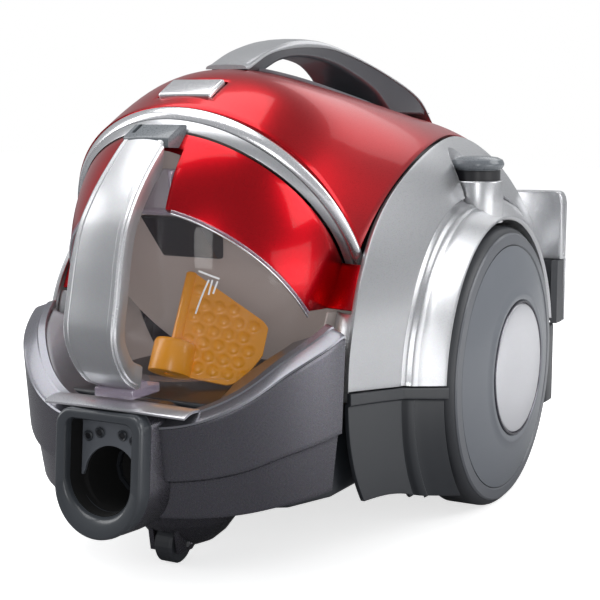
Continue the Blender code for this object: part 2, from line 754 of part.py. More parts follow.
# ---- chassis and side panels ----------------------------------------------------------------------
def chassis_outline(inset):
    """Right half of the chassis seen from above, front to rear, moved inwards by inset."""
    right = [(60, -160), (86, -124), (100, -120), (105, -77), (112, -74), (122, -26), (122, 158),
             (112, 186), (104, REAR_TRIM_Y)]
    return [(x - inset, y) for x, y in right]


def both_sides(right):
    return right + [(-x, y) for x, y in reversed(right)]


def make_chassis():
    top = BODY_SPLIT_Z - 0.6
    chassis = extruded("lower_chassis", both_sides(chassis_outline(0)), CHASSIS_FLOOR_Z, top, 2,
                       "dark_plastic")
    hollow = [(57, -170), (83, -124), (97, -118), (102, -76), (102, -30), (91, -24), (91, 174),
              (101, 178), (101, REAR_TRIM_Y - 3)]
    boolean(chassis, extruded("chassis_hollow", both_sides(hollow), CHASSIS_FLOOR_Z + 3, 140, 2,
                              None, CUTTERS))
    boolean(chassis, cutting_box("tongue_cut", (-120, -170, 52), (120, -121, 140)))
    for side, word in ((1, "right"), (-1, "left")):
        well = cutting_cylinder("wheel_well_" + word, (side * 95, AXLE_Y, WHEEL_RADIUS),
                                (side * 140, AXLE_Y, WHEEL_RADIUS), ARCH_WELL_RADIUS, 40)
        boolean(chassis, well)
        boolean(chassis, cutting_cylinder("axle_hole_" + word, (side * 80, AXLE_Y, WHEEL_RADIUS),
                                          (side * 96, AXLE_Y, WHEEL_RADIUS), 6.5, 16))
    boolean(chassis, cutting_cylinder("chassis_cord_hole", (66, 180, 76), (66, 215, 76), 8.5, 20))
    boolean(chassis, cutting_cylinder("swivel_hole", (0, SWIVEL_Y, 30), (0, SWIVEL_Y, 60), 5.4, 16))


def groove_radius(angle, margin=0.0):
    """Wheel arch groove: side-view point at an angle from the rear, about the wheel's centre."""
    return (GROOVE_CENTRE[0] + (GROOVE_RADII[0] + margin) * cos(angle),
            GROOVE_CENTRE[1] + (GROOVE_RADII[1] + margin) * sin(angle))


def ear_outline(angle, margin=0.0):
    power = 2 / EAR_EXPONENT
    return (EAR_CENTRE[0] + (EAR_RADII[0] + margin) * signed_power(cos(angle), power),
            EAR_CENTRE[1] + (EAR_RADII[1] + margin) * signed_power(sin(angle), power))


def trimmed(y, z):
    return min(y, REAR_TRIM_Y - 0.5), max(z, BODY_SPLIT_Z + 0.4)


def side_shell_point(side):
    """The shell between the wheel arch groove (u = 0) and its own outline (u = 1), rear to front."""
    rear = REAR_TRIM_Y - 0.5
    bottom = BODY_SPLIT_Z + 0.4
    groove_first = acos((rear - GROOVE_CENTRE[0]) / (GROOVE_RADII[0] + 1.0))
    groove_last = pi - asin((bottom - GROOVE_CENTRE[1]) / (GROOVE_RADII[1] + 1.0))
    ear_first = acos(((rear - EAR_CENTRE[0]) / EAR_RADII[0]) ** (EAR_EXPONENT / 2))
    ear_last = pi - asin(((bottom - EAR_CENTRE[1]) / EAR_RADII[1]) ** (EAR_EXPONENT / 2))

    def point(u, v):
        y0, z0 = groove_radius(groove_first + (groove_last - groove_first) * v, 1.0)
        y1, z1 = ear_outline(ear_first + (ear_last - ear_first) * v)
        y = y0 + (y1 - y0) * u
        z = z0 + (z1 - z0) * u
        return Vector((side * side_x(y, z), y, z))

    return point


def pedal_clearance(side, word):
    x, y = PEDAL_CENTRE
    cutter = turned("pedal_clearance_" + word,
                    [(0, 60), (20.2, 60), (20.2, COLUMN_TOP_Z - COLUMN_BASE_Z + 0.5),
                     (18.5, COLUMN_TOP_Z - COLUMN_BASE_Z - 1.5), (18.5, -GAP), (0, -GAP)],
                    None, (side * x, y, COLUMN_BASE_Z), (0, 0, 1), 24, CUTTERS)
    return cutter


def make_side(side, word):
    shell = patch("side_shell_" + word, side_shell_point(side), 5, 30, "silver_paint",
                  SHELL_THICKNESS)
    clearance = pedal_clearance(side, word)
    boolean(shell, clearance)
    rings = []
    first, last = radians(9), radians(171.5)
    steps = 26
    for k in range(steps + 1):
        angle = first + (last - first) * k / steps
        gy, gz = groove_radius(angle, -0.4)
        lip_y = AXLE_Y + (ARCH_WELL_RADIUS + 2.0) * cos(angle)
        lip_z = WHEEL_RADIUS + (ARCH_WELL_RADIUS + 2.0) * sin(angle)
        well_y = AXLE_Y + ARCH_WELL_RADIUS * cos(angle)
        well_z = WHEEL_RADIUS + ARCH_WELL_RADIUS * sin(angle)
        gy, gz = trimmed(gy, gz)
        lip_y, lip_z = trimmed(lip_y, lip_z)
        well_y, well_z = trimmed(well_y, well_z)
        gx = side_x(gy, gz) - 1.5
        middle_y, middle_z = (gy + lip_y) / 2, (gz + lip_z) / 2
        ring = [(gx, gy, gz), ((gx + 126) / 2 + 2.2, middle_y, middle_z), (126, lip_y, lip_z),
                (124.5, well_y, well_z), (96, well_y, well_z), (gx - 8, gy, gz)]
        rings.append(mirrored(ring, side))
    arch = loft("wheel_arch_" + word, rings, "silver_paint")
    boolean(arch, clearance)


def make_pedal(side, word, cap_name):
    x, y = PEDAL_CENTRE
    at = (side * x, y, COLUMN_BASE_Z)
    top = COLUMN_TOP_Z - COLUMN_BASE_Z
    turned("pedal_column_" + word,
           [(17.2, top), (18.0, top - 0.8), (18.0, 0), (0, 0), (0, 2.5), (16.2, 2.5), (16.2, top)],
           "silver_paint", at, (0, 0, 1), 24)
    base = 208.0 - COLUMN_BASE_Z
    cap = COLUMN_TOP_Z + 8.0 - COLUMN_BASE_Z
    turned(cap_name,
           [(0, cap + 9), (16.8, cap + 9), (18.5, cap + 7.5), (18.5, cap), (15.6, cap),
            (15.6, base), (4.0, base), (4.0, base - 2), (0, base - 2)],
           "dark_plastic", at, (0, 0, 1), 24)
    spring_coil(cap_name + "_spring", (side * x, y, 207.7), (side * x, y, COLUMN_BASE_Z + 2.8),
                9.0, 0.8, 3)


# ---- carry handle ---------------------------------------------------------------------------------
def handle_top(y):
    return smooth_through([(-90, 287.5), (-70, 296), (-40, 301.5), (0, 303.5), (30, 302),
                           (60, 296.5), (90, 288), (120, 278), (152, 264), (162, 254)], y)


def handle_half_width(y):
    return smooth_through([(-90, 19), (-50, 18), (10, 16), (50, 18), (90, 26), (125, 36),
                           (155, 40)], y)


def make_carry_handle():
    rings = []
    count = 26
    for k in range(count + 1):
        y = -89 + (160 + 89) * k / count
        w = handle_half_width(y)
        top = handle_top(y)
        arch_low = smooth_through([(-75, 0), (-58, 290), (-20, 294.5), (20, 295.5), (60, 289),
                                   (86, 281)], y)
        ends = y < -62 or y > 80
        rest = crest(y) + 3.2
        low = rest if ends else max(arch_low, rest)
        low = min(low, top - 1.5)
        section = [(-w, low), (w, low), (w, top - (top - low) * 0.45), (w - 4.5, top - 0.6),
                   (0, top), (-w + 4.5, top - 0.6), (-w, top - (top - low) * 0.45)]
        rings.append([Vector((a, y, b)) for a, b in section])
    loft("carry_handle", rings, "silver_paint")
    rings = []
    for k in range(17):
        y = -56 + (74 + 56) * k / 16
        w = handle_half_width(y) - 1.5
        top = smooth_through([(-58, 290), (-20, 294.5), (20, 295.5), (60, 289), (86, 281)], y)
        top -= 1.2
        fall = smooth_through([(-56, 12), (-20, 9), (20, 8), (50, 10), (74, 16)], y)
        low = max(top - fall, crest(y) + 3.4)
        section = [(-w, top), (-w + 2, low + 2), (-w + 5, low), (w - 5, low), (w - 2, low + 2),
                   (w, top)]
        rings.append([Vector((a, y, b)) for a, b in section])
    loft("handle_grip", rings, "dark_plastic")

    def tray(u, v):
        y = -86 + (150 + 86) * u
        spread = 27 / dome_half_width(y)
        angle = acos(spread ** (dome_exponent(y) / 2))
        return dome_point(y, angle + (pi - 2 * angle) * v, 2.4)

    patch("handle_tray", tray, 12, 4, "wheel_grey", 1.6)


# ---- rear -----------------------------------------------------------------------------------------
def make_rear():
    outline = []
    for k in range(17):
        angle = pi * k / 16
        outline.append((92 * signed_power(cos(angle), 0.7), 165 + 44 * sin(angle) ** 0.8))
    outline += [(-92, 62), (-84, 54), (84, 54), (92, 62)]
    cover = extruded("rear_cover", outline, REAR_TRIM_Y + 1.0, REAR_TRIM_Y + 5.0, 1,
                     "silver_paint")
    for row in range(7):
        z = 96 + row * 12.0
        boolean(cover, cutting_box(f"exhaust_slot_{row}", (-52, 180, z - 2.2),
                                   (52, 215, z + 2.2)))
    boolean(cover, cutting_cylinder("cord_hole", (66, 180, 76), (66, 215, 76), 8.5, 20))
    turned("cord_outlet",
           [(7.0, 8.0), (10.8, 8.0), (10.8, 5.4), (8.1, 5.4), (8.1, -3.0), (5.0, -3.0),
            (5.0, 6.5)],
           "black_plastic", (66, REAR_TRIM_Y, 76), (0, 1, 0), 20)
    for side, word in ((1, "right"), (-1, "left")):
        plan = [(84, 199.6), (84, 206), (121, 206), (125, 202), (125, 186), (121, 184),
                (119, 199.6)]
        wing = extruded("rear_stand_" + word, [(side * a, b) for a, b in plan], 104, 199, 2,
                        "silver_paint")
        boolean(wing, cutting_box("stand_slot_" + word, *sorted_box((side * 122, 190, 146),
                                                                    (side * 128, 196, 192))))
        boolean(wing, cutting_box("stand_pad_seat_" + word, *sorted_box((side * 107, 180, 100),
                                                                        (side * 130, 203, 150))))
        pad = [(108, 196.5), (108, 202.6), (122, 202.6), (124.6, 200), (124.6, 187), (120.5, 185),
               (118.5, 196.5)]
        extruded("stand_pad_" + word, [(side * a, b) for a, b in pad], 104, 149.5, 2,
                 "tyre_rubber")


def sorted_box(a, b):
    low = tuple(min(p, q) for p, q in zip(a, b))
    high = tuple(max(p, q) for p, q in zip(a, b))
    return low, high


# ---- wheels and caster ----------------------------------------------------------------------------
def make_wheel(side, word):
    at = (side * WHEEL_INNER_X, AXLE_Y, WHEEL_RADIUS)
    out = (side, 0, 0)
    face = HUB_FACE_X - WHEEL_INNER_X
    rim = TYRE_OUTER_X - WHEEL_INNER_X
    inner = DISC_RADIUS + GAP
    turned("tyre_" + word,
           [(inner, rim + 3.5), (86, rim + 3), (90.5, rim), (WHEEL_RADIUS, rim - 5),
            (WHEEL_RADIUS, 3), (90, 0), (inner, 0)],
           "tyre_rubber", at, out, 36)
    turned("wheel_disc_" + word,
           [(6.5, face - 4.5), (HUB_CAP_RADIUS + 0.6, face - 4.5), (HUB_CAP_RADIUS + 0.6, face - 1),
            (HUB_CAP_RADIUS + 6, face), (HUB_CAP_RADIUS + 8.5, face - 1.5),
            (DISC_RADIUS, rim + 3.5), (DISC_RADIUS, 2), (70, 2), (66, 18), (20, 18), (16, 1),
            (6.5, 1)],
           "wheel_grey", at, out, 36)
    turned("hub_cap_" + word,
           [(0, face), (HUB_CAP_RADIUS - 1, face), (HUB_CAP_RADIUS, face - 1),
            (HUB_CAP_RADIUS, face - 4.1), (0, face - 4.1)],
           "silver_paint", at, out, 32)
    cylinder("axle_" + word, (side * 84, AXLE_Y, WHEEL_RADIUS),
             (side * (HUB_FACE_X - 5), AXLE_Y, WHEEL_RADIUS), 6.0, "steel", sides=20)


def make_caster():
    centre = (0, SWIVEL_Y, 0)
    wheel_y = SWIVEL_Y - CASTER_TRAIL
    mount = turned("caster_fork",
                   [(0, 44.5), (33, 44.5), (34, 42), (33, 34), (29.5, 25), (24, 17.5), (17, 11.5),
                    (9, 8), (0, 7)],
                   "dark_plastic", centre, (0, 0, 1), 32)
    stem = cylinder("caster_stem", (0, SWIVEL_Y, 40), (0, SWIVEL_Y, 47.6), 5.0, None, sides=16,
                    collection=CUTTERS)
    boolean(mount, stem, "UNION")
    for side, word in ((1, "right"), (-1, "left")):
        cheek = extruded("caster_cheek_" + word,
                         [(wheel_y - 8, 8), (wheel_y + 4, 8), (SWIVEL_Y, 15), (SWIVEL_Y, 38),
                          (wheel_y - 14, 38), (wheel_y - 10, 20)],
                         *sorted((side * 7.2, side * 10.5)), 0, None, CUTTERS)
        boolean(mount, cheek, "UNION")
    boolean(mount, cutting_cylinder("caster_wheel_room", (-7.2, wheel_y, CASTER_RADIUS),
                                    (7.2, wheel_y, CASTER_RADIUS), CASTER_RADIUS + 2.5, 24))
    boolean(mount, cutting_cylinder("caster_axle_hole", (-12, wheel_y, CASTER_RADIUS),
                                    (12, wheel_y, CASTER_RADIUS), 2.4, 12))
    turned("caster_wheel", [(2.6, 6), (10.5, 6), (CASTER_RADIUS, 4.5), (CASTER_RADIUS, -4.5),
                            (10.5, -6), (2.6, -6)],
           "tyre_rubber", (0, wheel_y, CASTER_RADIUS), (1, 0, 0), 24)
    cylinder("caster_axle", (-10.3, wheel_y, CASTER_RADIUS), (10.3, wheel_y, CASTER_RADIUS), 2.0,
             "steel", sides=12)


# ---- inside ---------------------------------------------------------------------------------------
def make_bay_wall():
    """The slanted wall behind the bin."""
    plane_turn = Matrix.Rotation(NOSE_TILT, 4, "X")
    centre = NOSE_CENTRE - NOSE_FRONT * 5.0

    def build(bm):
        bmesh.ops.create_cone(bm, cap_ends=True, segments=32, radius1=1, radius2=1, depth=1)
        size = Matrix.Diagonal((78.0, 90.0, 3.0, 1))
        place = Matrix.Translation(centre) @ plane_turn
        bmesh.ops.transform(bm, matrix=place @ size, verts=bm.verts)

    wall = add_object("bin_bay_wall", mesh_from(build, "bin_bay_wall"), "black_plastic")
    boolean(wall, cutting_cylinder("bay_outlet_hole", FILTER_CENTRE + NOSE_FRONT * 20,
                                   FILTER_CENTRE - NOSE_FRONT * 30, 26, 24))
    boolean(wall, cutting_cylinder("bay_inlet_hole", (DUCT_X, -40, DUCT_EXIT_Z),
                                   (DUCT_X, -130, DUCT_EXIT_Z), 20, 20))


def make_inside():
    make_bay_wall()
    back = -NOSE_FRONT
    front_face = FILTER_CENTRE + back * 8.0
    cylinder("pre_motor_filter", front_face, front_face + back * 14, 30, "foam", sides=28)
    x, y, z = MOTOR_CENTRE
    turned("motor_housing",
           [(20, -36), (44, -34), (52, -24), (52, 40), (49, 40), (49, -22), (42, -31), (20, -33)]
           [::-1], "black_plastic", (x, y, z), (0, 1, 0), 28)
    turned("motor_stator", [(22, 32), (36, 32), (36, -2), (22, -2)], "steel", (x, y, z),
           (0, 1, 0), 24)
    turned("motor_end_cover", [(6.0, 44), (50, 44), (50, 41), (6.0, 41)], "dark_plastic",
           (x, y, z), (0, 1, 0), 24)
    turned("fan_rotor",
           [(0, 43.5), (5, 43.5), (5, 33), (18, 32), (18, 0), (5, -4), (5, -9), (42, -10),
            (42, -16), (12, -22), (5, -27), (0, -27)],
           "steel", (x, y, z), (0, 1, 0), 24)
    turned("motor_front_seal", [(22, -36.6), (34, -36.6), (34, -42), (22, -42)], "tyre_rubber",
           (x, y, z), (0, 1, 0), 20)
    turned("cord_reel_drum",
           [(5.0, 18), (60, 18), (60, 15.5), (28, 15.5), (28, -15.5), (60, -15.5), (60, -18),
            (5.0, -18)],
           "white_plastic", (20, 118, 128), (0, 1, 0), 28)
    cylinder("cord_reel_shaft", (20, 96, 128), (20, 140, 128), 4.5, "steel", sides=16)
    box("exhaust_filter", (-54, 176, 88), (54, 190, 176), "foam", bevel=2.0)
    box("control_board", (-86, -10, 60), (-82, 60, 104), "circuit_green")


# ---- assembly -------------------------------------------------------------------------------------
make_top_cover()
make_open_button()
make_arch_band()
make_bin()
make_bin_handle()
make_compression_plate()
make_bumper()
make_cradle()
make_hose_inlet()
make_chassis()
make_carry_handle()
make_rear()
for side, word, cap in ((1, "right", "power_pedal"), (-1, "left", "cord_rewind_pedal")):
    make_side(side, word)
    make_pedal(side, word, cap)
    make_wheel(side, word)
make_caster()
make_inside()
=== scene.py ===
"""Looks of a bagless canister vacuum cleaner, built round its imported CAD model.

Shapes are worked out in millimetres in the CAD's own frame: floor at z = 0, -Y the hose inlet's
end, +X the power pedal's side. Every mesh is scaled to metres when it is made.
"""

from math import acos, asin, atan2, cos, pi, radians, sin

import bmesh
import bpy
from mathutils import Matrix, Vector


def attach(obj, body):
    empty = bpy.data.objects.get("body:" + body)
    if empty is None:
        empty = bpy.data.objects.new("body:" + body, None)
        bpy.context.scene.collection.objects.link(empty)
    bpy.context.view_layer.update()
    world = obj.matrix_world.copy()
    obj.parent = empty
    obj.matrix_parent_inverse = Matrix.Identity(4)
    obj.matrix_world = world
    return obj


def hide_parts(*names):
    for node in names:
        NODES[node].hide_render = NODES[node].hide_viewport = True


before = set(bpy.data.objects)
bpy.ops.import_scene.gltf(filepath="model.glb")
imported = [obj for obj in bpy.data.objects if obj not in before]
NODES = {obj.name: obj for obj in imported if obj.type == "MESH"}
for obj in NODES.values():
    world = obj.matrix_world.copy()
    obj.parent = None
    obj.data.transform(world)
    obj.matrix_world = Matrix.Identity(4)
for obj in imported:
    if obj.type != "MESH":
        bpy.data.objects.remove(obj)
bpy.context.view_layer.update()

MM = 0.001

# ---- driving dimensions, as in the CAD
WHEEL_RADIUS = 92.0
AXLE_Y = 75.0
HUB_FACE_X = 137.0
TYRE_OUTER_X = 125.0
WHEEL_INNER_X = 98.0
HUB_CAP_RADIUS = 42.5
DISC_RADIUS = 79.3
ARCH_WELL_RADIUS = 96.0
ARCH_LIP_RADIUS = ARCH_WELL_RADIUS + 2.0
ARCH_LIP_X = 126.0
BODY_SPLIT_Z = 110.0
SPLIT_FRONT_Y = -107.6
SPLIT_FRONT_Z = 106.7
SPLIT_SLOPE = 0.119
DOME_BASE_Z = 165.0
SHELL_THICKNESS = 2.5
COVER_FRONT_Y = -122.0
COVER_FRONT_Z = 262.3
COVER_GAP = 1.0
SPLIT_GAP = 0.4
SHELL_STAND = 1.2
FLARE_TOP_Z = 218.0
FLARE_HEIGHT = 80.0
FLARE_DEPTH = 7.0

BAND_UPPER = {"offset": 16.4, "slope": 0.527, "half_width": 97.8, "height": 91.5, "base_z": 171.2}
BAND_LOWER = {"offset": 53.2, "slope": 0.75, "half_width": 85.6, "height": 70.5, "base_z": 179.0}

NOSE_CENTRE = Vector((0.0, -74.0, 168.5))
NOSE_TILT = atan2(0.8, -0.6)
NOSE_RADII = (85.0, 98.0, 90.0)
NOSE_UP = Vector((0.0, cos(NOSE_TILT), sin(NOSE_TILT)))
NOSE_FRONT = Vector((0.0, -sin(NOSE_TILT), cos(NOSE_TILT)))
BIN_WALL = 2.2
BIN_FLOOR_Z = 82.0
LID_LOW_Z = 150.0
FOOT_CENTRE_Y = -120.0
FOOT_RADII = (42.0, 38.0)
FOOT_LOW_Z = 92.0
FOOT_HIGH_Z = 113.0
LID_PLANE = {"offset_z": 30.4, "slope": -1.119}
RECESS_HALF_WIDTH = 18.5

EAR_CENTRE = (105.0, 105.0)
EAR_RADII = (213.5, 135.3)
EAR_REAR_RADIUS = 118.0
EAR_EXPONENT = 2.27
GROOVE_CENTRE = (75.0, 92.0)
GROOVE_RADII = (125.0, 112.0)
GROOVE_EXPONENT = 2.3
REAR_TRIM_Y = 194.0
SHELL_REAR_Y = REAR_TRIM_Y - 0.5

PLATE_AXIS_POINT = Vector((0.0, -131.0, 109.0))
PLATE_AXIS = Vector((0.0, 0.42, 0.907)).normalized()
PEDAL_CENTRE = (108.0, 67.0)
COLUMN_TOP_Z = 214.0
COLUMN_BASE_Z = 196.5
POCKET_RADIUS = 19.2
INLET_FACE_Y = -203.5
SIDES = ((1, "right"), (-1, "left"))


# ---- curve formulas
def smooth_through(points, x):
    """A smooth curve through (x, value) points, flat beyond both ends."""
    if x <= points[0][0]:
        return points[0][1]
    if x >= points[-1][0]:
        return points[-1][1]
    slopes = []
    for i in range(len(points)):
        before = points[max(i - 1, 0)]
        after = points[min(i + 1, len(points) - 1)]
        slopes.append((after[1] - before[1]) / (after[0] - before[0]))
    i = max(k for k in range(len(points) - 1) if points[k][0] <= x)
    (x0, v0), (x1, v1) = points[i], points[i + 1]
    span = x1 - x0
    t = (x - x0) / span
    start = (2 * t**3 - 3 * t**2 + 1) * v0 + (t**3 - 2 * t**2 + t) * span * slopes[i]
    end = (3 * t**2 - 2 * t**3) * v1 + (t**3 - t**2) * span * slopes[i + 1]
    return start + end


def signed_power(value, power):
    return abs(value) ** power * (1 if value >= 0 else -1)


def spread(first, last, count):
    """The ends of count equal steps from first to last."""
    return [first + (last - first) * k / count for k in range(count + 1)]


def arc(centre, radii, first, last, steps):
    return [(centre[0] + radii[0] * cos(angle), centre[1] + radii[1] * sin(angle))
            for angle in spread(first, last, steps)]


def superellipse(centre, radii, exponent, angle):
    power = 2 / exponent
    return (centre[0] + radii[0] * signed_power(cos(angle), power),
            centre[1] + radii[1] * signed_power(sin(angle), power))


def turning_point(low, high, holds):
    """Where holds(x), true at low, turns false on the way to high."""
    for _ in range(24):
        middle = (low + high) / 2
        if holds(middle):
            low = middle
        else:
            high = middle
    return high


def both_sides(half):
    """A closed outline from its right half, which starts and ends on the centre line."""
    return half + [(-a, b) for a, b in reversed(half[1:-1])]


def crest(y):
    """Height of the dome's centre line."""
    return smooth_through([(COVER_FRONT_Y, COVER_FRONT_Z), (-100, 274), (-80, 281.5), (-60, 283.5),
                           (-30, 280), (40, 268.5), (97, 259), (152, 250), (178, 238), (194, 218),
                           (200, 196)], y)


def dome_half_width(y):
    return smooth_through([(-122, 94), (-74, 98), (0, 107), (60, 111), (140, 108), (194, 98)], y)


def dome_exponent(y):
    return smooth_through([(-110, 2.0), (0, 2.3), (140, 2.4)], y)


def dome_x(y, z):
    rise = min(max((z - DOME_BASE_Z) / (crest(y) - DOME_BASE_Z), 0.0), 1.0)
    n = dome_exponent(y)
    return dome_half_width(y) * max(1 - rise**n, 0.0) ** (1 / n)


def dome_point(y, angle, raised=0.0):
    """Point of the dome's section at y, angle 0 at +X and pi at -X, moved outwards by raised."""
    power = 2 / dome_exponent(y)
    x = (dome_half_width(y) + raised) * signed_power(cos(angle), power)
    z = DOME_BASE_Z + (crest(y) + raised - DOME_BASE_Z) * sin(angle) ** power
    return Vector((x, y, z))


def slanted_dome_point(start_y, slope, angle, raised=0.0):
    """Point of the dome in a slanted plane through its crest at start_y."""
    y = start_y
    for _ in range(40):
        point = dome_point(y, angle, raised)
        y = 0.5 * y + 0.5 * (start_y - slope * (point.z - COVER_FRONT_Z))
    return dome_point(y, angle, raised)


def split_z(y):
    """Height of the line between the silver shell and the dark chassis."""
    if y > AXLE_Y:
        return BODY_SPLIT_Z
    return SPLIT_FRONT_Z - SPLIT_SLOPE * (y - SPLIT_FRONT_Y)


def under_ear(y, z):
    """Whether a side-view point lies within the side shell's outline and the gap round it."""
    radius = EAR_RADII[0] if y < EAR_CENTRE[0] else EAR_REAR_RADIUS
    dy = abs(y - EAR_CENTRE[0]) / (radius + COVER_GAP)
    dz = abs(z - EAR_CENTRE[1]) / (EAR_RADII[1] + COVER_GAP)
    return dy**EAR_EXPONENT + dz**EAR_EXPONENT <= 1


def front_edge(centre, radii, exponent, z):
    """The y where a side outline's front reaches height z."""
    rise = abs(z - centre[1]) / radii[1]
    return centre[0] - radii[0] * (1 - rise**exponent) ** (1 / exponent)


def ear_front(z):
    return front_edge(EAR_CENTRE, EAR_RADII, EAR_EXPONENT, z)


def side_x(y, z):
    """Half width of the side shell, which stands off the dome and flares towards its foot."""
    flare = min(max((FLARE_TOP_Z - z) / FLARE_HEIGHT, 0.0), 1.0)
    return dome_x(y, z) + SHELL_STAND + FLARE_DEPTH * flare * flare * (3 - 2 * flare)


# ---- mesh helpers
def new_object(name, bm):
    """Scales the bmesh from millimetres to metres and makes it an object."""
    bmesh.ops.transform(bm, matrix=Matrix.Scale(MM, 4), verts=bm.verts)
    mesh = bpy.data.meshes.new(name)
    bm.to_mesh(mesh)
    bm.free()
    thing = bpy.data.objects.new(name, mesh)
    bpy.context.scene.collection.objects.link(thing)
    return thing


def baked(thing):
    """Makes the object's modifiers part of its mesh."""
    graph = bpy.context.evaluated_depsgraph_get()
    mesh = bpy.data.meshes.new_from_object(thing.evaluated_get(graph))
    thing.modifiers.clear()
    thing.data = mesh
    return thing


def cut(thing, cutter, operation="DIFFERENCE"):
    modifier = thing.modifiers.new(cutter.name, "BOOLEAN")
    modifier.object = cutter
    modifier.operation = operation
    modifier.solver = "EXACT"
    baked(thing)
    bpy.data.objects.remove(cutter, do_unlink=True)


def softened(thing, width, segments=2):
    """Rounds the object's sharp edges."""
    modifier = thing.modifiers.new("soft_edges", "BEVEL")
    modifier.width = width * MM
    modifier.segments = segments
    modifier.limit_method = "ANGLE"
    modifier.angle_limit = radians(32)
    return baked(thing)


def put(thing, paint, body, *nodes, sharp=34):
    """Gives a finished piece its material, its body and the CAD nodes that it stands for."""
    thing.data.shade_smooth()
    thing.data.set_sharp_from_angle(angle=radians(sharp))
    thing.data.materials.clear()
    thing.data.materials.append(paint["material"])
    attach(thing, body)
    if nodes:
        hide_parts(*nodes)


def grid_faces(bm, grid):
    for here, there in zip(grid, grid[1:]):
        for j in range(len(here) - 1):
            bm.faces.new((here[j], there[j], there[j + 1], here[j + 1]))


def panel(name, point, rows, columns, thickness, behind=(0, 30, 120)):
    """A curved panel over u, v in 0..1, thickened towards the point behind."""
    bm = bmesh.new()
    grid_faces(bm, [[bm.verts.new(point(i / rows, j / columns)) for j in range(columns + 1)]
                    for i in range(rows + 1)])
    bm.normal_update()
    facing = sum(f.normal.dot(f.calc_center_median() - Vector(behind)) for f in bm.faces)
    if facing < 0:
        bmesh.ops.reverse_faces(bm, faces=bm.faces)
    thing = new_object(name, bm)
    solid = thing.modifiers.new("thickness", "SOLIDIFY")
    solid.thickness = thickness * MM
    solid.offset = -1
    return baked(thing)


def loft(name, rings, closed=False):
    """A skin over rings of equal length; the ends are capped unless it closes on itself."""
    bm = bmesh.new()
    made = [[bm.verts.new(p) for p in ring] for ring in rings]
    count = len(rings[0])
    spans = len(rings) if closed else len(rings) - 1
    for i in range(spans):
        here, there = made[i], made[(i + 1) % len(rings)]
        for j in range(count):
            k = (j + 1) % count
            bm.faces.new((here[j], there[j], there[k], here[k]))
    if not closed:
        bm.faces.new(made[0])
        bm.faces.new(made[-1][::-1])
    bmesh.ops.recalc_face_normals(bm, faces=bm.faces)
    return new_object(name, bm)


def turned(name, profile, origin, axis, steps=96, closed=True):
    """A solid of revolution of (radius, height) points about an axis."""
    place = (Matrix.Translation(Vector(origin))
             @ Vector(axis).to_track_quat("Z", "Y").to_matrix().to_4x4())
    bm = bmesh.new()
    rings = []
    for r, h in profile:
        if r < 1e-6:
            rings.append([bm.verts.new(place @ Vector((0, 0, h)))])
            continue
        rings.append([bm.verts.new(place @ Vector((r * cos(2 * pi * k / steps),
                                                   r * sin(2 * pi * k / steps), h)))
                      for k in range(steps)])
    for a, b in zip(rings, rings[1:] + (rings[:1] if closed else [])):
        if len(a) == 1 and len(b) == 1:
            continue
        for k in range(steps):
            n = (k + 1) % steps
            corners = [a[0]] if len(a) == 1 else [a[k], a[n]]
            corners += [b[0]] if len(b) == 1 else [b[n], b[k]]
            bm.faces.new(corners)
    bmesh.ops.recalc_face_normals(bm, faces=bm.faces)
    return new_object(name, bm)


def bead(name, points, radius):
    """A round strip along a line of points."""
    rings = []
    sides = 10
    for k, at in enumerate(points):
        along = (points[min(k + 1, len(points) - 1)] - points[max(k - 1, 0)]).normalized()
        side = along.cross(Vector((0, 0, 1))).normalized()
        other = side.cross(along)
        rings.append([at + (side * cos(2 * pi * j / sides) + other * sin(2 * pi * j / sides))
                      * radius for j in range(sides)])
    return loft(name, rings)


def block(name, low, high, tilt=0.0):
    """A box, turned by tilt about an X line through its middle."""
    low, high = Vector(low), Vector(high)
    bm = bmesh.new()
    bmesh.ops.create_cube(bm, size=1)
    place = (Matrix.Translation((low + high) / 2) @ Matrix.Rotation(tilt, 4, "X")
             @ Matrix.Diagonal((*(high - low), 1)))
    bmesh.ops.transform(bm, matrix=place, verts=bm.verts)
    return new_object(name, bm)


def extruded(name, outline, low, high, axis):
    """A prism of a closed outline between two values of one axis."""
    def at(a, b, c):
        point = [a, b]
        point.insert(axis, c)
        return Vector(point)

    return loft(name, [[at(a, b, low) for a, b in outline], [at(a, b, high) for a, b in outline]])


def rounded_outline(points, radius, steps=5):
    """The outline with each corner replaced by an arc-like curve."""
    rounded = []
    count = len(points)
    for i in range(count):
        before, here, after = (Vector(points[(i + k) % count]) for k in (-1, 0, 1))
        into = before - here
        out = after - here
        reach = min(radius, into.length * 0.45, out.length * 0.45)
        start = here + into.normalized() * reach
        end = here + out.normalized() * reach
        for k in range(steps + 1):
            t = k / steps
            rounded.append(tuple(start * (1 - t)**2 + here * 2 * t * (1 - t) + end * t**2))
    return rounded


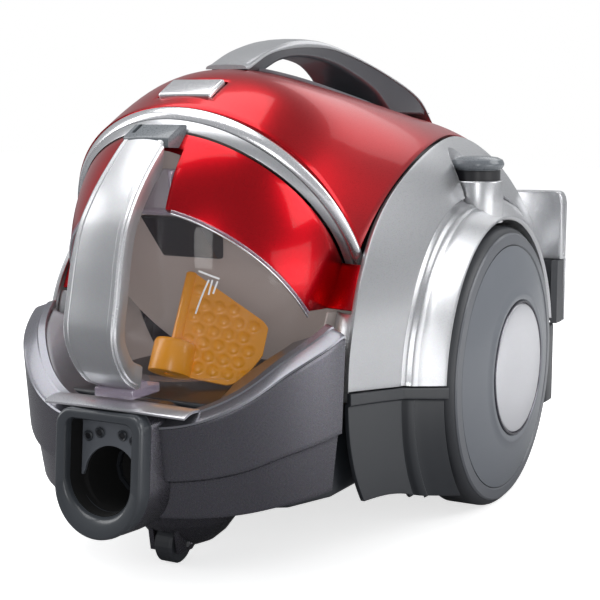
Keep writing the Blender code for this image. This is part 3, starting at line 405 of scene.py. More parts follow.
# ---- materials
class Nodes:
    """Short calls for building one material's node tree."""

    def __init__(self, name):
        self.material = bpy.data.materials.new(name)
        self.material.use_nodes = True
        self.tree = self.material.node_tree
        self.shader = self.tree.nodes["Principled BSDF"]
        self.where = self.add("ShaderNodeTexCoord").outputs["Object"]

    def add(self, kind, **values):
        node = self.tree.nodes.new(kind)
        for key, value in values.items():
            setattr(node, key, value)
        return node

    def link(self, out, into):
        self.tree.links.new(out, into)

    def noise(self, scale, detail=2.0, rough=0.5):
        made = self.add("ShaderNodeTexNoise")
        made.inputs["Scale"].default_value = scale
        made.inputs["Detail"].default_value = detail
        made.inputs["Roughness"].default_value = rough
        self.link(self.where, made.inputs["Vector"])
        return made.outputs["Fac"]

    def ramp(self, fac, stops):
        made = self.add("ShaderNodeValToRGB")
        elements = made.color_ramp.elements
        while len(elements) < len(stops):
            elements.new(0.5)
        for element, (at, colour) in zip(elements, stops):
            element.position = at
            element.color = (*colour, 1)
        self.link(fac, made.inputs["Fac"])
        return made.outputs["Color"]

    def between(self, fac, low, high):
        made = self.add("ShaderNodeMapRange")
        made.inputs["To Min"].default_value = low
        made.inputs["To Max"].default_value = high
        self.link(fac, made.inputs["Value"])
        return made.outputs["Result"]

    def bump(self, height, strength, distance):
        made = self.add("ShaderNodeBump")
        made.inputs["Strength"].default_value = strength
        made.inputs["Distance"].default_value = distance
        self.link(height, made.inputs["Height"])
        return made.outputs["Normal"]

    def set(self, **values):
        for key, value in values.items():
            self.shader.inputs[key.replace("_", " ")].default_value = value

    def feed(self, **outs):
        for key, out in outs.items():
            self.link(out, self.shader.inputs[key.replace("_", " ")])

    def mix(self, a, b, blend="MIX"):
        """A Mix node of two colours, whose colour sockets are found by number."""
        made = self.add("ShaderNodeMix", data_type="RGBA", blend_type=blend)
        self.link(a, made.inputs[6])
        self.link(b, made.inputs[7])
        return made.inputs["Factor"], made.outputs[2]


def moulded(name, slot, dark, light, roughness, grain=900.0, grain_depth=0.00004, metallic=0.0,
            coat=0.0, painted_glow=0.0):
    """Paint or moulded plastic: a slow drift of colour, fine grain in the bump and the gloss; an
    optional glow of its light colour paints in light.
    """
    nodes = Nodes(name)
    fine = nodes.noise(grain, 2.0, 0.6)
    nodes.feed(Base_Color=nodes.ramp(nodes.noise(5.0, 3.0), [(0.3, dark), (0.7, light)]),
               Roughness=nodes.between(fine, roughness - 0.04, roughness + 0.04),
               Normal=nodes.bump(fine, 0.25, grain_depth))
    nodes.set(Metallic=metallic, Coat_Weight=coat, Coat_Roughness=0.05,
              Emission_Color=(*light, 1), Emission_Strength=painted_glow)
    return {"material": nodes.material, "slot": slot}


def flaked(name, slot, dark, light, metallic, roughness, coat):
    """Metallic paint: tiny flakes that turn the normal, under a clear coat."""
    nodes = Nodes(name)
    flakes = nodes.add("ShaderNodeTexVoronoi")
    flakes.inputs["Scale"].default_value = 1600.0
    nodes.link(nodes.where, flakes.inputs["Vector"])
    drift = nodes.ramp(nodes.noise(4.0, 2.0), [(0.25, dark), (0.75, light)])
    amount, tinted = nodes.mix(drift, flakes.outputs["Color"], "SOFT_LIGHT")
    amount.default_value = 0.07
    depth = flakes.outputs["Distance"]
    nodes.feed(Base_Color=tinted, Normal=nodes.bump(depth, 0.06, 0.00006),
               Roughness=nodes.between(depth, roughness - 0.05, roughness + 0.07))
    nodes.set(Metallic=metallic, Coat_Weight=coat, Coat_Roughness=0.08)
    return {"material": nodes.material, "slot": slot}


def clear(name, slot, tint_and_sheen, low, high):
    """Clear plastic: its alpha goes from low, face on, to high towards its edges, where its pale
    tint shows as a painted sheen.
    """
    nodes = Nodes(name)
    edge = nodes.add("ShaderNodeLayerWeight")
    edge.inputs["Blend"].default_value = 0.35
    haze = nodes.noise(14.0, 3.0)
    veil_and_sheen = nodes.between(edge.outputs["Facing"], low, high)
    veil_and_sheen.node.inputs["From Min"].default_value = 0.35
    pale = tuple(min(c * 1.08, 1) for c in tint_and_sheen)
    nodes.feed(Base_Color=nodes.ramp(haze, [(0.3, tint_and_sheen), (0.7, pale)]), Alpha=veil_and_sheen,
               Roughness=nodes.between(haze, 0.02, 0.06))
    nodes.set(IOR=2.6, Specular_IOR_Level=0.85)
    return {"material": nodes.material, "slot": slot}


RED = flaked("deep_red_paint", "red_paint", (0.46, 0.0015, 0.007), (0.54, 0.002, 0.010), 1.0, 0.3,
             0.35)
SILVER = flaked("silver_paint", "silver_paint", (0.50, 0.505, 0.52), (0.57, 0.575, 0.59), 0.85, 0.3,
                0.3)
SATIN_SILVER = flaked("satin_silver", "silver_paint", (0.50, 0.505, 0.52), (0.55, 0.555, 0.57),
                      0.8, 0.34, 0.25)
# Bright silver trim; on the bin handle's edge strips this paint is a painted highlight.
BRIGHT_TRIM_AND_HIGHLIGHT = flaked("bright_trim_and_highlight", "silver_paint", (0.80, 0.80, 0.82), (0.87, 0.87, 0.89), 0.9,
                     0.22, 0.4)
GUNMETAL = flaked("gunmetal_paint", "gunmetal_paint", (0.105, 0.102, 0.120), (0.13, 0.126, 0.145),
                  0.85, 0.27, 0.4)
RIM = flaked("rim_silver", "cradle_silver", (0.19, 0.19, 0.215), (0.23, 0.23, 0.255), 0.8, 0.3, 0.4)
CRADLE = flaked("cradle_silver", "cradle_silver", (0.66, 0.66, 0.69), (0.72, 0.72, 0.75), 0.8,
                0.3, 0.35)
SEAT = flaked("seat_grey", "cradle_silver", (0.14, 0.135, 0.15), (0.17, 0.165, 0.18), 0.7, 0.35,
              0.3)
PEDAL_GREY = moulded("pedal_grey", "dark_plastic", (0.13, 0.145, 0.16), (0.16, 0.175, 0.19), 0.28,
                     coat=0.35)
# Near black, darker than the black plastic: the inlet's own black with painted shade of its deep
# bore.
INLET_BLACK_AND_SHADE = moulded("inlet_black_and_shade", "black_plastic", (0.002, 0.002, 0.002), (0.004, 0.004, 0.004), 0.9)
COLLAR = moulded("collar_plastic", "dark_plastic", (0.044, 0.050, 0.058), (0.056, 0.062, 0.070),
                 0.3, coat=0.25)
HANDLE_GREY = moulded("handle_grey", "dark_plastic", (0.075, 0.078, 0.088), (0.095, 0.098, 0.108),
                      0.32, metallic=0.3, coat=0.25)
DARK = moulded("dark_plastic", "dark_plastic", (0.016, 0.018, 0.022), (0.023, 0.026, 0.031), 0.36,
               coat=0.1)
BLACK = moulded("black_plastic", "black_plastic", (0.008, 0.008, 0.010), (0.013, 0.013, 0.016),
                0.4)
# Its glow is painted light that brightens the dim inside of the bin and the cradle's walls.
BACK_GREY = moulded("taupe_plastic", "black_plastic", (0.50, 0.435, 0.41), (0.60, 0.53, 0.50),
                    0.4, coat=0.2, painted_glow=0.16)
WHEEL_GREY = moulded("wheel_grey", "wheel_grey", (0.135, 0.146, 0.166), (0.16, 0.172, 0.192), 0.36,
                     coat=0.15)
RING_GREY = moulded("ring_grey", "wheel_grey", (0.10, 0.106, 0.12), (0.12, 0.127, 0.142), 0.33,
                    coat=0.2)
TYRE = moulded("tyre_rubber", "tyre_rubber", (0.030, 0.032, 0.037), (0.040, 0.043, 0.049), 0.42,
               grain=1500.0)
# Its pale tint is partly the plastic's milkiness and, towards the edges, a painted sheen.
CLEAR = clear("clear_plastic", "clear_plastic", (0.42, 0.38, 0.44), 0.04, 0.55)
VIOLET_CLEAR = clear("violet_clear", "clear_plastic", (0.50, 0.42, 0.56), 0.42, 0.85)
# Its glow is painted light, standing in for light shining through the amber plastic.
ORANGE = moulded("amber_plastic", "orange_plastic", (0.80, 0.30, 0.006), (0.88, 0.36, 0.010), 0.3,
                 coat=0.2, painted_glow=0.12)
STEEL = moulded("turned_steel", "steel", (0.50, 0.50, 0.52), (0.58, 0.58, 0.6), 0.3, metallic=1.0)
FOAM = moulded("filter_foam", "foam", (0.05, 0.05, 0.05), (0.09, 0.09, 0.09), 0.9, grain=400.0,
               grain_depth=0.0006)
WHITE = moulded("white_plastic", "white_plastic", (0.68, 0.68, 0.67), (0.74, 0.74, 0.73), 0.4)
BOARD = moulded("board_green", "circuit_green", (0.02, 0.13, 0.05), (0.03, 0.2, 0.08), 0.4)
PRINT = moulded("white_print", "white_plastic", (0.85, 0.85, 0.85), (0.9, 0.9, 0.9), 0.5)


# ---- camera, lights and floor
CAMERA_AZIMUTH = radians(28.4)
CAMERA_PITCH = radians(8.5)
CAMERA_AT = (0.4374, -0.7822, 0.2707)


def make_world():
    """Grey surroundings for the paint to mirror, which the camera itself sees as white."""
    world = bpy.data.worlds.new("studio")
    bpy.context.scene.world = world
    world.use_nodes = True
    tree = world.node_tree
    grey = tree.nodes["Background"]
    grey.inputs["Color"].default_value = (0.95, 0.97, 1.0, 1)
    grey.inputs["Strength"].default_value = 0.42
    white = tree.nodes.new("ShaderNodeBackground")
    white.inputs["Color"].default_value = (1, 1, 1, 1)
    seen = tree.nodes.new("ShaderNodeLightPath")
    mixed = tree.nodes.new("ShaderNodeMixShader")
    tree.links.new(seen.outputs["Is Camera Ray"], mixed.inputs["Fac"])
    tree.links.new(grey.outputs["Background"], mixed.inputs[1])
    tree.links.new(white.outputs["Background"], mixed.inputs[2])
    tree.links.new(mixed.outputs["Shader"], tree.nodes["World Output"].inputs["Surface"])


def make_stage():
    camera = bpy.data.objects.new("camera", bpy.data.cameras.new("camera"))
    camera.data.lens = 83.95
    camera.data.sensor_width = 36.0
    camera.location = CAMERA_AT
    camera.rotation_euler = (pi / 2 - CAMERA_PITCH, 0, CAMERA_AZIMUTH)
    bpy.context.scene.collection.objects.link(camera)
    bpy.context.scene.camera = camera

    bpy.context.scene.view_settings.view_transform = "Standard"
    make_world()

    def softbox(name, at, aim, size, power):
        lamp = bpy.data.lights.new(name, "AREA")
        lamp.shape = "RECTANGLE"
        lamp.size, lamp.size_y = size
        lamp.energy = power
        thing = bpy.data.objects.new(name, lamp)
        thing.location = at
        thing.rotation_mode = "QUATERNION"
        thing.rotation_quaternion = (Vector(aim) - Vector(at)).to_track_quat("-Z", "Y")
        bpy.context.scene.collection.objects.link(thing)

    middle = (0, 0, 0.15)
    softbox("softbox_top", (-0.2, -0.1, 1.5), middle, (1.3, 1.3), 15)
    softbox("softbox_left", (-1.5, -0.7, 0.9), middle, (0.7, 1.5), 11)
    softbox("softbox_right", (1.5, 0.5, 0.95), middle, (1.1, 0.9), 10)
    softbox("softbox_front", (1.0, -1.9, 0.45), middle, (0.5, 1.0), 7)
    softbox("softbox_low", (0.62, -0.08, 0.11), (0.10, -0.14, 0.08), (0.34, 0.2), 0.4)
    softbox("softbox_back", (0.2, 1.6, 1.2), middle, (1.4, 0.6), 3)
    make_floor()


def make_floor():
    """Pale paper to the camera; in reflections darker at the front and lighter at the right."""
    bm = bmesh.new()
    bmesh.ops.create_grid(bm, x_segments=4, y_segments=4, size=4000)
    floor = new_object("floor", bm)
    nodes = Nodes("floor_paper")
    paper = nodes.ramp(nodes.noise(3.0), [(0.3, (0.86, 0.86, 0.86)), (0.7, (0.88, 0.88, 0.88))])
    turn = nodes.add("ShaderNodeMapping")
    turn.inputs["Rotation"].default_value = (0, 0, radians(-20))
    turn.inputs["Scale"].default_value = (1.5, 1.5, 1)
    nodes.link(nodes.where, turn.inputs["Vector"])
    rise = nodes.add("ShaderNodeTexGradient")
    nodes.link(turn.outputs["Vector"], rise.inputs["Vector"])
    mirrored = nodes.ramp(rise.outputs["Fac"], [(0.1, (0.20, 0.20, 0.21)),
                                                (0.9, (0.95, 0.95, 0.95))])
    by_camera = nodes.add("ShaderNodeLightPath").outputs["Is Camera Ray"]
    amount, look = nodes.mix(mirrored, paper)
    nodes.link(by_camera, amount)
    nodes.feed(Base_Color=look, Emission_Strength=nodes.between(by_camera, 0.0, 0.68))
    nodes.set(Roughness=0.7, Emission_Color=(1, 1, 1, 1))
    floor.data.materials.append(nodes.material)


# ---- cover, band and button
def cover_row(u):
    """The crest position and the slope of the slanted section at u, 0 front to 1 rear."""
    start_y = COVER_FRONT_Y + (REAR_TRIM_Y - COVER_FRONT_Y) * u
    slope = BAND_UPPER["slope"] * max(1 - 1.6 * u, 0.0) ** 1.5
    return start_y, slope


def cover_edge_angle(u):
    """How far up the section at u the side shell reaches, as an angle from +X."""
    def under_shell(angle):
        p = slanted_dome_point(*cover_row(u), angle)
        return under_ear(p.y, p.z)

    return turning_point(0.0, pi / 2, under_shell)


BUTTON_CENTRE = Vector((0, -103.0, 271.6))
BUTTON_TILT = radians(27)


def make_top_cover():
    edges = {}

    def point(u, v):
        if u not in edges:
            edges[u] = cover_edge_angle(u)
        edge = edges[u]
        return slanted_dome_point(*cover_row(u), edge + (pi - 2 * edge) * v)

    cover = panel("cover_shell", point, 64, 72, SHELL_THICKNESS)
    cut(cover, softened(block("button_hole", (-18.4, -113.4, 262), (18.4, -92.6, 286),
                              BUTTON_TILT), 1.2, 3))
    put(softened(cover, 0.5), RED, "body", "top_cover")

    # Black strips below the gaps between the cover and the side shells: painted shade in the gaps.
    for side, word in SIDES:
        def gap_shade(u, v):
            u = 0.02 + 0.96 * u
            angle = cover_edge_angle(u) - 0.07 + 0.13 * v
            p = slanted_dome_point(*cover_row(u), max(angle, 0.0), -4.2)
            return Vector((side * p.x, p.y, p.z))

        put(panel("cover_gap_shade_" + word, gap_shade, 64, 4, 1.0), BLACK, "body")

    normal = Vector((0, -sin(BUTTON_TILT), cos(BUTTON_TILT)))
    middle = BUTTON_CENTRE - normal * 2.0
    half = Vector((17.5, 9.5, 4.0))
    button = softened(block("button_key", middle - half, middle + half, BUTTON_TILT), 1.6, 4)
    put(button, BRIGHT_TRIM_AND_HIGHLIGHT, "open_button", "open_button")


def band_point(shape, angle, scale=1.0):
    """A half ellipse in a slanted plane, with straight legs below it."""
    z = shape["base_z"] + shape["height"] * scale * sin(angle)
    across = cos(angle) if sin(angle) > 0 else signed_power(cos(angle), 0.0)
    x = shape["half_width"] * scale * across
    return Vector((x, shape["offset"] - shape["slope"] * z, z))


def make_arch_band():
    upper = []
    lower = []
    first = radians(-8)
    for angle in spread(first, pi - first, 120):
        outer = band_point(BAND_UPPER, angle, 0.992)
        inner = band_point(BAND_LOWER, angle)
        inward = (Vector((0, -74, 168)) - outer).normalized()
        outer = outer - Vector((0, 1.0, 0))
        back = Vector((0, 1.6, -1.0 * max(sin(angle), 0)))
        rise = Vector((0, -0.9, 0.5 * max(sin(angle), 0)))
        split = outer.lerp(inner, 0.53)
        low = outer.lerp(inner, 0.56)
        crown = [outer.lerp(split, t) + rise * height
                 for t, height in ((0.12, 0.9), (0.5, 1.1), (0.88, 0.9))]
        upper.append([outer + back, outer, *crown, split, split + back * 1.3])
        lower.append([low + back * 1.2, low + rise * 0.2, low.lerp(inner, 0.3) + rise * 0.4,
                      low.lerp(inner, 0.9) + rise * 0.2, inner, inner + back * 1.5 + inward * 0.8])
    put(loft("band_upper", upper), BRIGHT_TRIM_AND_HIGHLIGHT, "body", "arch_band", sharp=50)
    put(loft("band_lower", lower), SILVER, "body", sharp=50)


# ---- dust bin
def closed_by_plane(bm, point, normal):
    made = bmesh.ops.bisect_plane(bm, geom=bm.verts[:] + bm.edges[:] + bm.faces[:],
                                  plane_co=point, plane_no=normal, clear_outer=True)
    rim = [e for e in made["geom_cut"] if isinstance(e, bmesh.types.BMEdge)]
    bmesh.ops.contextual_create(bm, geom=rim)


def half_nose(name, shrink=0.0, start=0.0, foot=None, sides=112, rings=64):
    """The nose ellipsoid in front of its slanted rear face, with a flat foot if one is given."""
    bm = bmesh.new()
    bmesh.ops.create_uvsphere(bm, u_segments=sides, v_segments=rings, radius=1)
    size = Matrix.Diagonal((*(r - shrink for r in NOSE_RADII), 1))
    bmesh.ops.transform(bm, matrix=size, verts=bm.verts)
    closed_by_plane(bm, (0, 0, start), (0, 0, -1))
    place = Matrix.Translation(NOSE_CENTRE) @ Matrix.Rotation(NOSE_TILT, 4, "X")
    bmesh.ops.transform(bm, matrix=place, verts=bm.verts)
    if foot is not None:
        closed_by_plane(bm, (0, 0, foot), (0, 0, -1))
    return new_object(name, bm)


SWELL_DEPTH = 55.0
BAND_CLEARANCE = 0.8


def rim_stretch(across, up):
    """How far out the arch band's lower edge lies from the nose's rim, as a ratio."""
    length = (across**2 + up**2) ** 0.5 or 1.0
    c, s = across / length, up / length
    nose = ((c / NOSE_RADII[0]) ** 2 + (s / NOSE_RADII[1]) ** 2) ** -0.5
    half_width = BAND_LOWER["half_width"] - BAND_CLEARANCE
    half_height = BAND_LOWER["height"] / NOSE_UP.z - BAND_CLEARANCE
    centre = (BAND_LOWER["base_z"] - NOSE_CENTRE.z) / NOSE_UP.z
    a = (c / half_width) ** 2 + (s / half_height) ** 2
    b = -2 * s * centre / half_height**2
    k = (centre / half_height) ** 2 - 1
    reach = (-b + (b * b - 4 * a * k) ** 0.5) / (2 * a)
    if reach * s < centre:
        reach = half_width / abs(c)
    return reach / nose


def swollen(thing):
    """Draws the nose's rim out to the arch band's edge, fading out towards the front."""
    for vertex in thing.data.vertices:
        offset = vertex.co / MM - NOSE_CENTRE
        up = offset.dot(NOSE_UP)
        fade = max(1 - max(offset.dot(NOSE_FRONT), 0) / SWELL_DEPTH, 0) ** 2
        if up > 0 and fade > 0:
            move = (Vector((offset.x, 0, 0)) + NOSE_UP * up) * (rim_stretch(offset.x, up) - 1)
            vertex.co += move * fade * MM
    return thing


def on_nose(middle, direction, raised=0.0):
    """Where a line from a point inside the nose leaves it, moved outwards by raised."""
    axes = (Vector((1, 0, 0)), NOSE_UP, NOSE_FRONT)
    sizes = [r + raised for r in NOSE_RADII]
    start = [(middle - NOSE_CENTRE).dot(axis) / r for axis, r in zip(axes, sizes)]
    along = [direction.dot(axis) / r for axis, r in zip(axes, sizes)]
    a = sum(v * v for v in along)
    b = 2 * sum(o * v for o, v in zip(start, along))
    k = sum(o * o for o in start) - 1
    return middle + direction * ((-b + (b * b - 4 * a * k) ** 0.5) / (2 * a))


def lid_plane_z(y):
    return LID_PLANE["offset_z"] + LID_PLANE["slope"] * y


def lid_region(name, clearance):
    low_z = LID_LOW_Z + clearance
    low_y = (low_z - clearance - LID_PLANE["offset_z"]) / LID_PLANE["slope"]
    outline = [(low_y, low_z), (-300, lid_plane_z(-300) + clearance), (-300, 500), (90, 500),
               (90, low_z)]
    return extruded(name, outline, -160, 160, 0)


def foot_ring(name, margin, low, high):
    outline = arc((0, FOOT_CENTRE_Y), (FOOT_RADII[0] + margin, FOOT_RADII[1] + margin), 0, 2 * pi,
                  96)
    return extruded(name, outline[:-1], low, high, 2)


def make_bin():
    body = half_nose("bin_bowl", start=1.0, foot=BIN_FLOOR_Z)
    cut(body, foot_ring("foot", 0.0, FOOT_LOW_Z, FOOT_HIGH_Z), "UNION")
    cut(body, foot_ring("foot_hollow", -2.5, FOOT_LOW_Z - 30, FOOT_HIGH_Z - 12))
    cut(body, half_nose("refill", 0.1, 1.1, BIN_FLOOR_Z + 0.1), "UNION")
    cut(body, half_nose("bin_hollow", BIN_WALL, 3.4, BIN_FLOOR_Z + 2.4))
    swollen(body)
    cut(body, lid_region("bin_top_cut", -0.4))
    put(body, CLEAR, "bin", "bin_body")

    lid = half_nose("bin_cap", start=0.8)
    cut(lid, half_nose("lid_hollow", BIN_WALL, -2.0))
    swollen(lid)
    cut(lid, lid_region("lid_keep", 0.0), "INTERSECT")
    cut(lid, block("lid_recess_cut", (-RECESS_HALF_WIDTH, -230, 150),
                   (RECESS_HALF_WIDTH, -141, 300)))
    put(softened(lid, 0.45), RED, "bin", "bin_lid")
    make_lid_rim()


def make_lid_rim():
    """Two beads along the seam between the lid and the bin, one clear and one bright silver."""
    middle = Vector((0, -100.0, lid_plane_z(-100.0)))
    rise = Vector((0, -1.0, -LID_PLANE["slope"])).normalized()
    lowest = asin((LID_LOW_Z - middle.z) / rise.z / NOSE_RADII[0])
    for k, (drop, radius, paint) in enumerate(((0.5, 0.75, VIOLET_CLEAR), (2.6, 0.6, BRIGHT_TRIM_AND_HIGHLIGHT))):
        start = middle - Vector((0, 0, drop))
        for side, word in SIDES:
            points = [on_nose(start, Vector((side * cos(angle), 0, 0)) + rise * sin(angle), 0.15)
                      for angle in spread(lowest, radians(76), 48)]
            put(bead(f"seam_bead_{word}_{k}", points, radius), paint, "bin", sharp=60)


HANDLE_FRONT = [(-150, 247), (-163, 236), (-174.5, 225), (-184, 214), (-192.5, 201), (-198.5, 184),
                (-202.5, 166), (-206, 149), (-204.5, 137), (-198, 125), (-190, 117), (-181, 112.5)]
HANDLE_HALF_WIDTHS = [13.8, 13.8, 14.2, 14.7, 15.4, 16, 16.5, 16.5, 16, 15.5, 15, 15]


def make_bin_handle():
    """A bar with a lipped front, swept down a curve through its own points (y, z)."""
    along_bar = spread(0, len(HANDLE_FRONT) - 1, 96)
    centres = [Vector((0, smooth_through([(i, p[0]) for i, p in enumerate(HANDLE_FRONT)], t),
                       smooth_through([(i, p[1]) for i, p in enumerate(HANDLE_FRONT)], t)))
               for t in along_bar]
    rings = []
    for k, (centre, t) in enumerate(zip(centres, along_bar)):
        along = (centres[min(k + 1, 96)] - centres[max(k - 1, 0)]).normalized()
        out = Vector((0, along.z, -along.y))
        w = smooth_through(list(enumerate(HANDLE_HALF_WIDTHS)), t)
        face = w - 4.2
        right = [(face * 0.5, -0.45), (face, -0.9), (face + 0.5, -0.5), (w - 1.6, -0.6),
                 (w - 0.4, -1.5), (w, -3.2), (w - 0.6, -8), (w - 1.5, -13), (w - 3, -14)]
        section = [(0, -0.3)] + right + [(-a, b) for a, b in reversed(right)]
        rings.append([centre + Vector((a, 0, 0)) + out * b for a, b in section])
    handle = loft("handle_bar", rings)
    # Bright strips along both edges of the bar: a painted highlight on its bevels.
    for side, word in SIDES:
        out = Vector((side * 0.25, -0.25, 0.1))
        lip, flank = (4, 6) if side > 0 else (15, 13)
        highlight_strip = [[ring[lip] + out, ring[flank] + out * 1.3, ring[flank] - out * 3,
                 ring[lip] - out * 3] for ring in rings[3:-2]]
        put(loft("bin_handle_highlight_" + word, highlight_strip), BRIGHT_TRIM_AND_HIGHLIGHT, "bin")
    cut(handle, half_nose("handle_seat_cut", -0.4, -5.0))
    cut(handle, foot_ring("handle_foot_room", 0.4, FOOT_LOW_Z - 30, FOOT_HIGH_Z + 0.4))
    cut(handle, block("handle_top_cut", (-40, -152, 226), (40, -100, 300)))
    put(handle, SATIN_SILVER, "bin", "bin_handle", sharp=28)

    bracket = block("handle_bracket", (-12.5, -184, 107.6), (12.5, -157.5, 113))
    put(softened(bracket, 1.0, 3), VIOLET_CLEAR, "bin")
    make_latch()


def make_latch():
    """The grey block above the handle, and the clear well for the fingers behind it."""
    outline = rounded_outline([(-151.5, 240.6), (-151.2, 245.8), (-138.5, 252.6), (-132.5, 252.2),
                               (-134.5, 244), (-141, 240)], 1.4, 4)
    latch = extruded("latch_block", outline, -13.6, 15.8, 0)
    cut(latch, half_nose("latch_seat", -0.4, -5.0))
    cut(latch, block("latch_slot", (-11.4, -147.5, 243), (-8.8, -138, 258), radians(27)))
    put(softened(latch, 0.9, 3), PEDAL_GREY, "bin", "bin_latch")

    liner = block("recess_walls", (-17.8, -152, 204), (17.8, -131, 228))
    cut(liner, block("recess_hollow", (-15.8, -170, 206), (15.8, -133, 250)))
    put(softened(liner, 0.4), VIOLET_CLEAR, "bin", "lid_recess_liner")


PLATE_REACH = 51.0
BUMP_RADIUS = 3.3


def plate_top(r):
    return 62.0 - max(r - 3, 0) * 0.45 - max(r - 46, 0) ** 2 * 0.08


def plate_bottom(r):
    return 1.5 + max(r - 33, 0) ** 2 * 0.065


def plate_bumps():
    """Centres (r, h) of the round bumps, in rows that are shifted by turns."""
    centres = [(7.5 + column * 8.8 + (4.4 if row % 2 else 0), 8.0 + row * 7.4)
               for row in range(8) for column in range(6)]
    return [(r, h) for r, h in centres if r <= PLATE_REACH - 4 and h <= plate_top(r) - 4]


def make_compression_plate():
    """The amber plate: two bumpy faces, joined by a strip round their edge, a post and a hub."""
    radial = Vector((cos(radians(28)), sin(radians(28)), 0))
    radial = (radial - PLATE_AXIS * radial.dot(PLATE_AXIS)).normalized()
    across = PLATE_AXIS.cross(radial)
    rows, columns = 72, 56
    bumps = plate_bumps()

    def half_thickness(r, h):
        nearest = min((r - bump_r) ** 2 + (h - bump_h) ** 2 for bump_r, bump_h in bumps)
        return 1.5 + 1.3 * max(1 - nearest / BUMP_RADIUS**2, 0) ** 0.5

    bm = bmesh.new()
    made = []
    for side in (-1, 1):
        grid = []
        for i in range(rows + 1):
            row = []
            for r in spread(0, PLATE_REACH, columns):
                h = plate_bottom(r) + (plate_top(r) - plate_bottom(r)) * i / rows
                row.append(bm.verts.new(PLATE_AXIS_POINT + radial * (r - 1) + PLATE_AXIS * (h + 1)
                                        + across * side * half_thickness(r, h)))
            grid.append(row)
        made.append(grid)
        grid_faces(bm, grid)
    rim = ([(i, 0) for i in range(rows)] + [(rows, j) for j in range(columns)]
           + [(i, columns) for i in range(rows, 0, -1)] + [(0, j) for j in range(columns, 0, -1)])
    for (i, j), (p, q) in zip(rim, rim[1:] + rim[:1]):
        bm.faces.new((made[0][i][j], made[0][p][q], made[1][p][q], made[1][i][j]))
    bmesh.ops.recalc_face_normals(bm, faces=bm.faces)
    put(new_object("pressing_plate", bm), ORANGE, "compression_plate", "compression_plate",
        sharp=40)

    post = turned("plate_post", [(0, 5), (3.3, 5), (3.3, 63.5), (0, 63.5)], PLATE_AXIS_POINT,
                  PLATE_AXIS, 32, closed=False)
    put(softened(post, 1.4, 4), ORANGE, "compression_plate")
    hub = turned("plate_hub", [(3, 2.4), (12.4, 2.4), (12.4, 19.5), (11.6, 21.6), (10.6, 21.6),
                               (10.2, 17), (3, 17)], PLATE_AXIS_POINT, PLATE_AXIS, 64)
    put(softened(hub, 0.4), ORANGE, "compression_plate")


def make_bin_inside():
    """The dark wedge under the lid, and the pale rear and floor seen through the clear wall."""
    wedge = extruded("guide_wedge", rounded_outline(
        [(-129.5, 201), (-100, 201), (-100, 175.5), (-106, 175.5)], 2.0), -18.5, 18.5, 0)
    put(softened(wedge, 0.8, 3), BLACK, "bin", "cyclone_guide")

    screen = half_nose("rear_screen", 3.2, 3.6, BIN_FLOOR_Z + 3.0, 96, 24)
    cut(screen, half_nose("screen_keep", -20, 4.6))
    put(screen, BACK_GREY, "bin")
    floor = half_nose("floor_screen", 3.2, 3.6, BIN_FLOOR_Z + 2.8, 96, 24)
    cut(floor, block("floor_keep", (-120, -250, BIN_FLOOR_Z + 3.8), (120, 60, 300)))
    put(floor, WHITE, "bin")


def make_fill_lines():
    """White level lines printed on the bin: (x, z) of both ends, and the width."""
    lines = [((38.0, 175.8), (47.4, 171.4), 1.0), ((42.7, 171.0), (34.9, 152.2), 0.8),
             ((44.3, 170.9), (42.1, 162.8), 0.8), ((46.5, 170.1), (44.2, 163.3), 0.8)]
    for k, (start, end, width) in enumerate(lines):
        start, end = Vector(start), Vector(end)
        side = (end - start).orthogonal().normalized() * width / 2

        def point(u, v):
            at = start.lerp(end, u) + side * (2 * v - 1)
            return on_nose(Vector((at.x, -100, at.y)), Vector((0, -1, 0)), 0.12)

        put(panel(f"level_line_{k}", point, 12, 2, 0.12), PRINT, "bin")


# ---- front
NOSE_PLAN_Y = -95.0
NOSE_PLAN_EXPONENT = 2.1
RIM_HEIGHT = [(-187, 92), (-180, 96), (-168, 106), (-149, 123), (-119, 138.5)]
STEP_HEIGHT = [(-187, 63), (-168, 70), (-150, 78), (-118, 85)]
BOTTOM_HEIGHT = [(-187, 41.5), (-168, 45), (-150, 48.5), (-118, 52)]
NOSE_PLAN_DEPTH = 92.0
NOSE_HALF_WIDTH = 108.0
NOSE_FIRST_ANGLE = 0.22


def bumper_point(angle, half_width, depth, heights, lift=0.0):
    """Point of a level line round the nose; heights give its z by how far forward it is."""
    x, y = superellipse((0, NOSE_PLAN_Y), (half_width, -depth), NOSE_PLAN_EXPONENT, angle)
    full_y = superellipse((0, NOSE_PLAN_Y), (half_width, -NOSE_PLAN_DEPTH), NOSE_PLAN_EXPONENT,
                          angle)[1]
    return Vector((x, y, smooth_through(heights, full_y) + lift))


def rim_point(angle, half_width, lift):
    depth = half_width - NOSE_HALF_WIDTH + NOSE_PLAN_DEPTH
    return bumper_point(angle, half_width, depth, RIM_HEIGHT, lift)


def inlet_room(name):
    """The space that the hose inlet takes out of the bumper."""
    return loft(name, [inlet_ring(inlet_outline(27.0, 36.0, 101.5, 8.0), depth)
                       for depth in (-6.0, 46.0)])


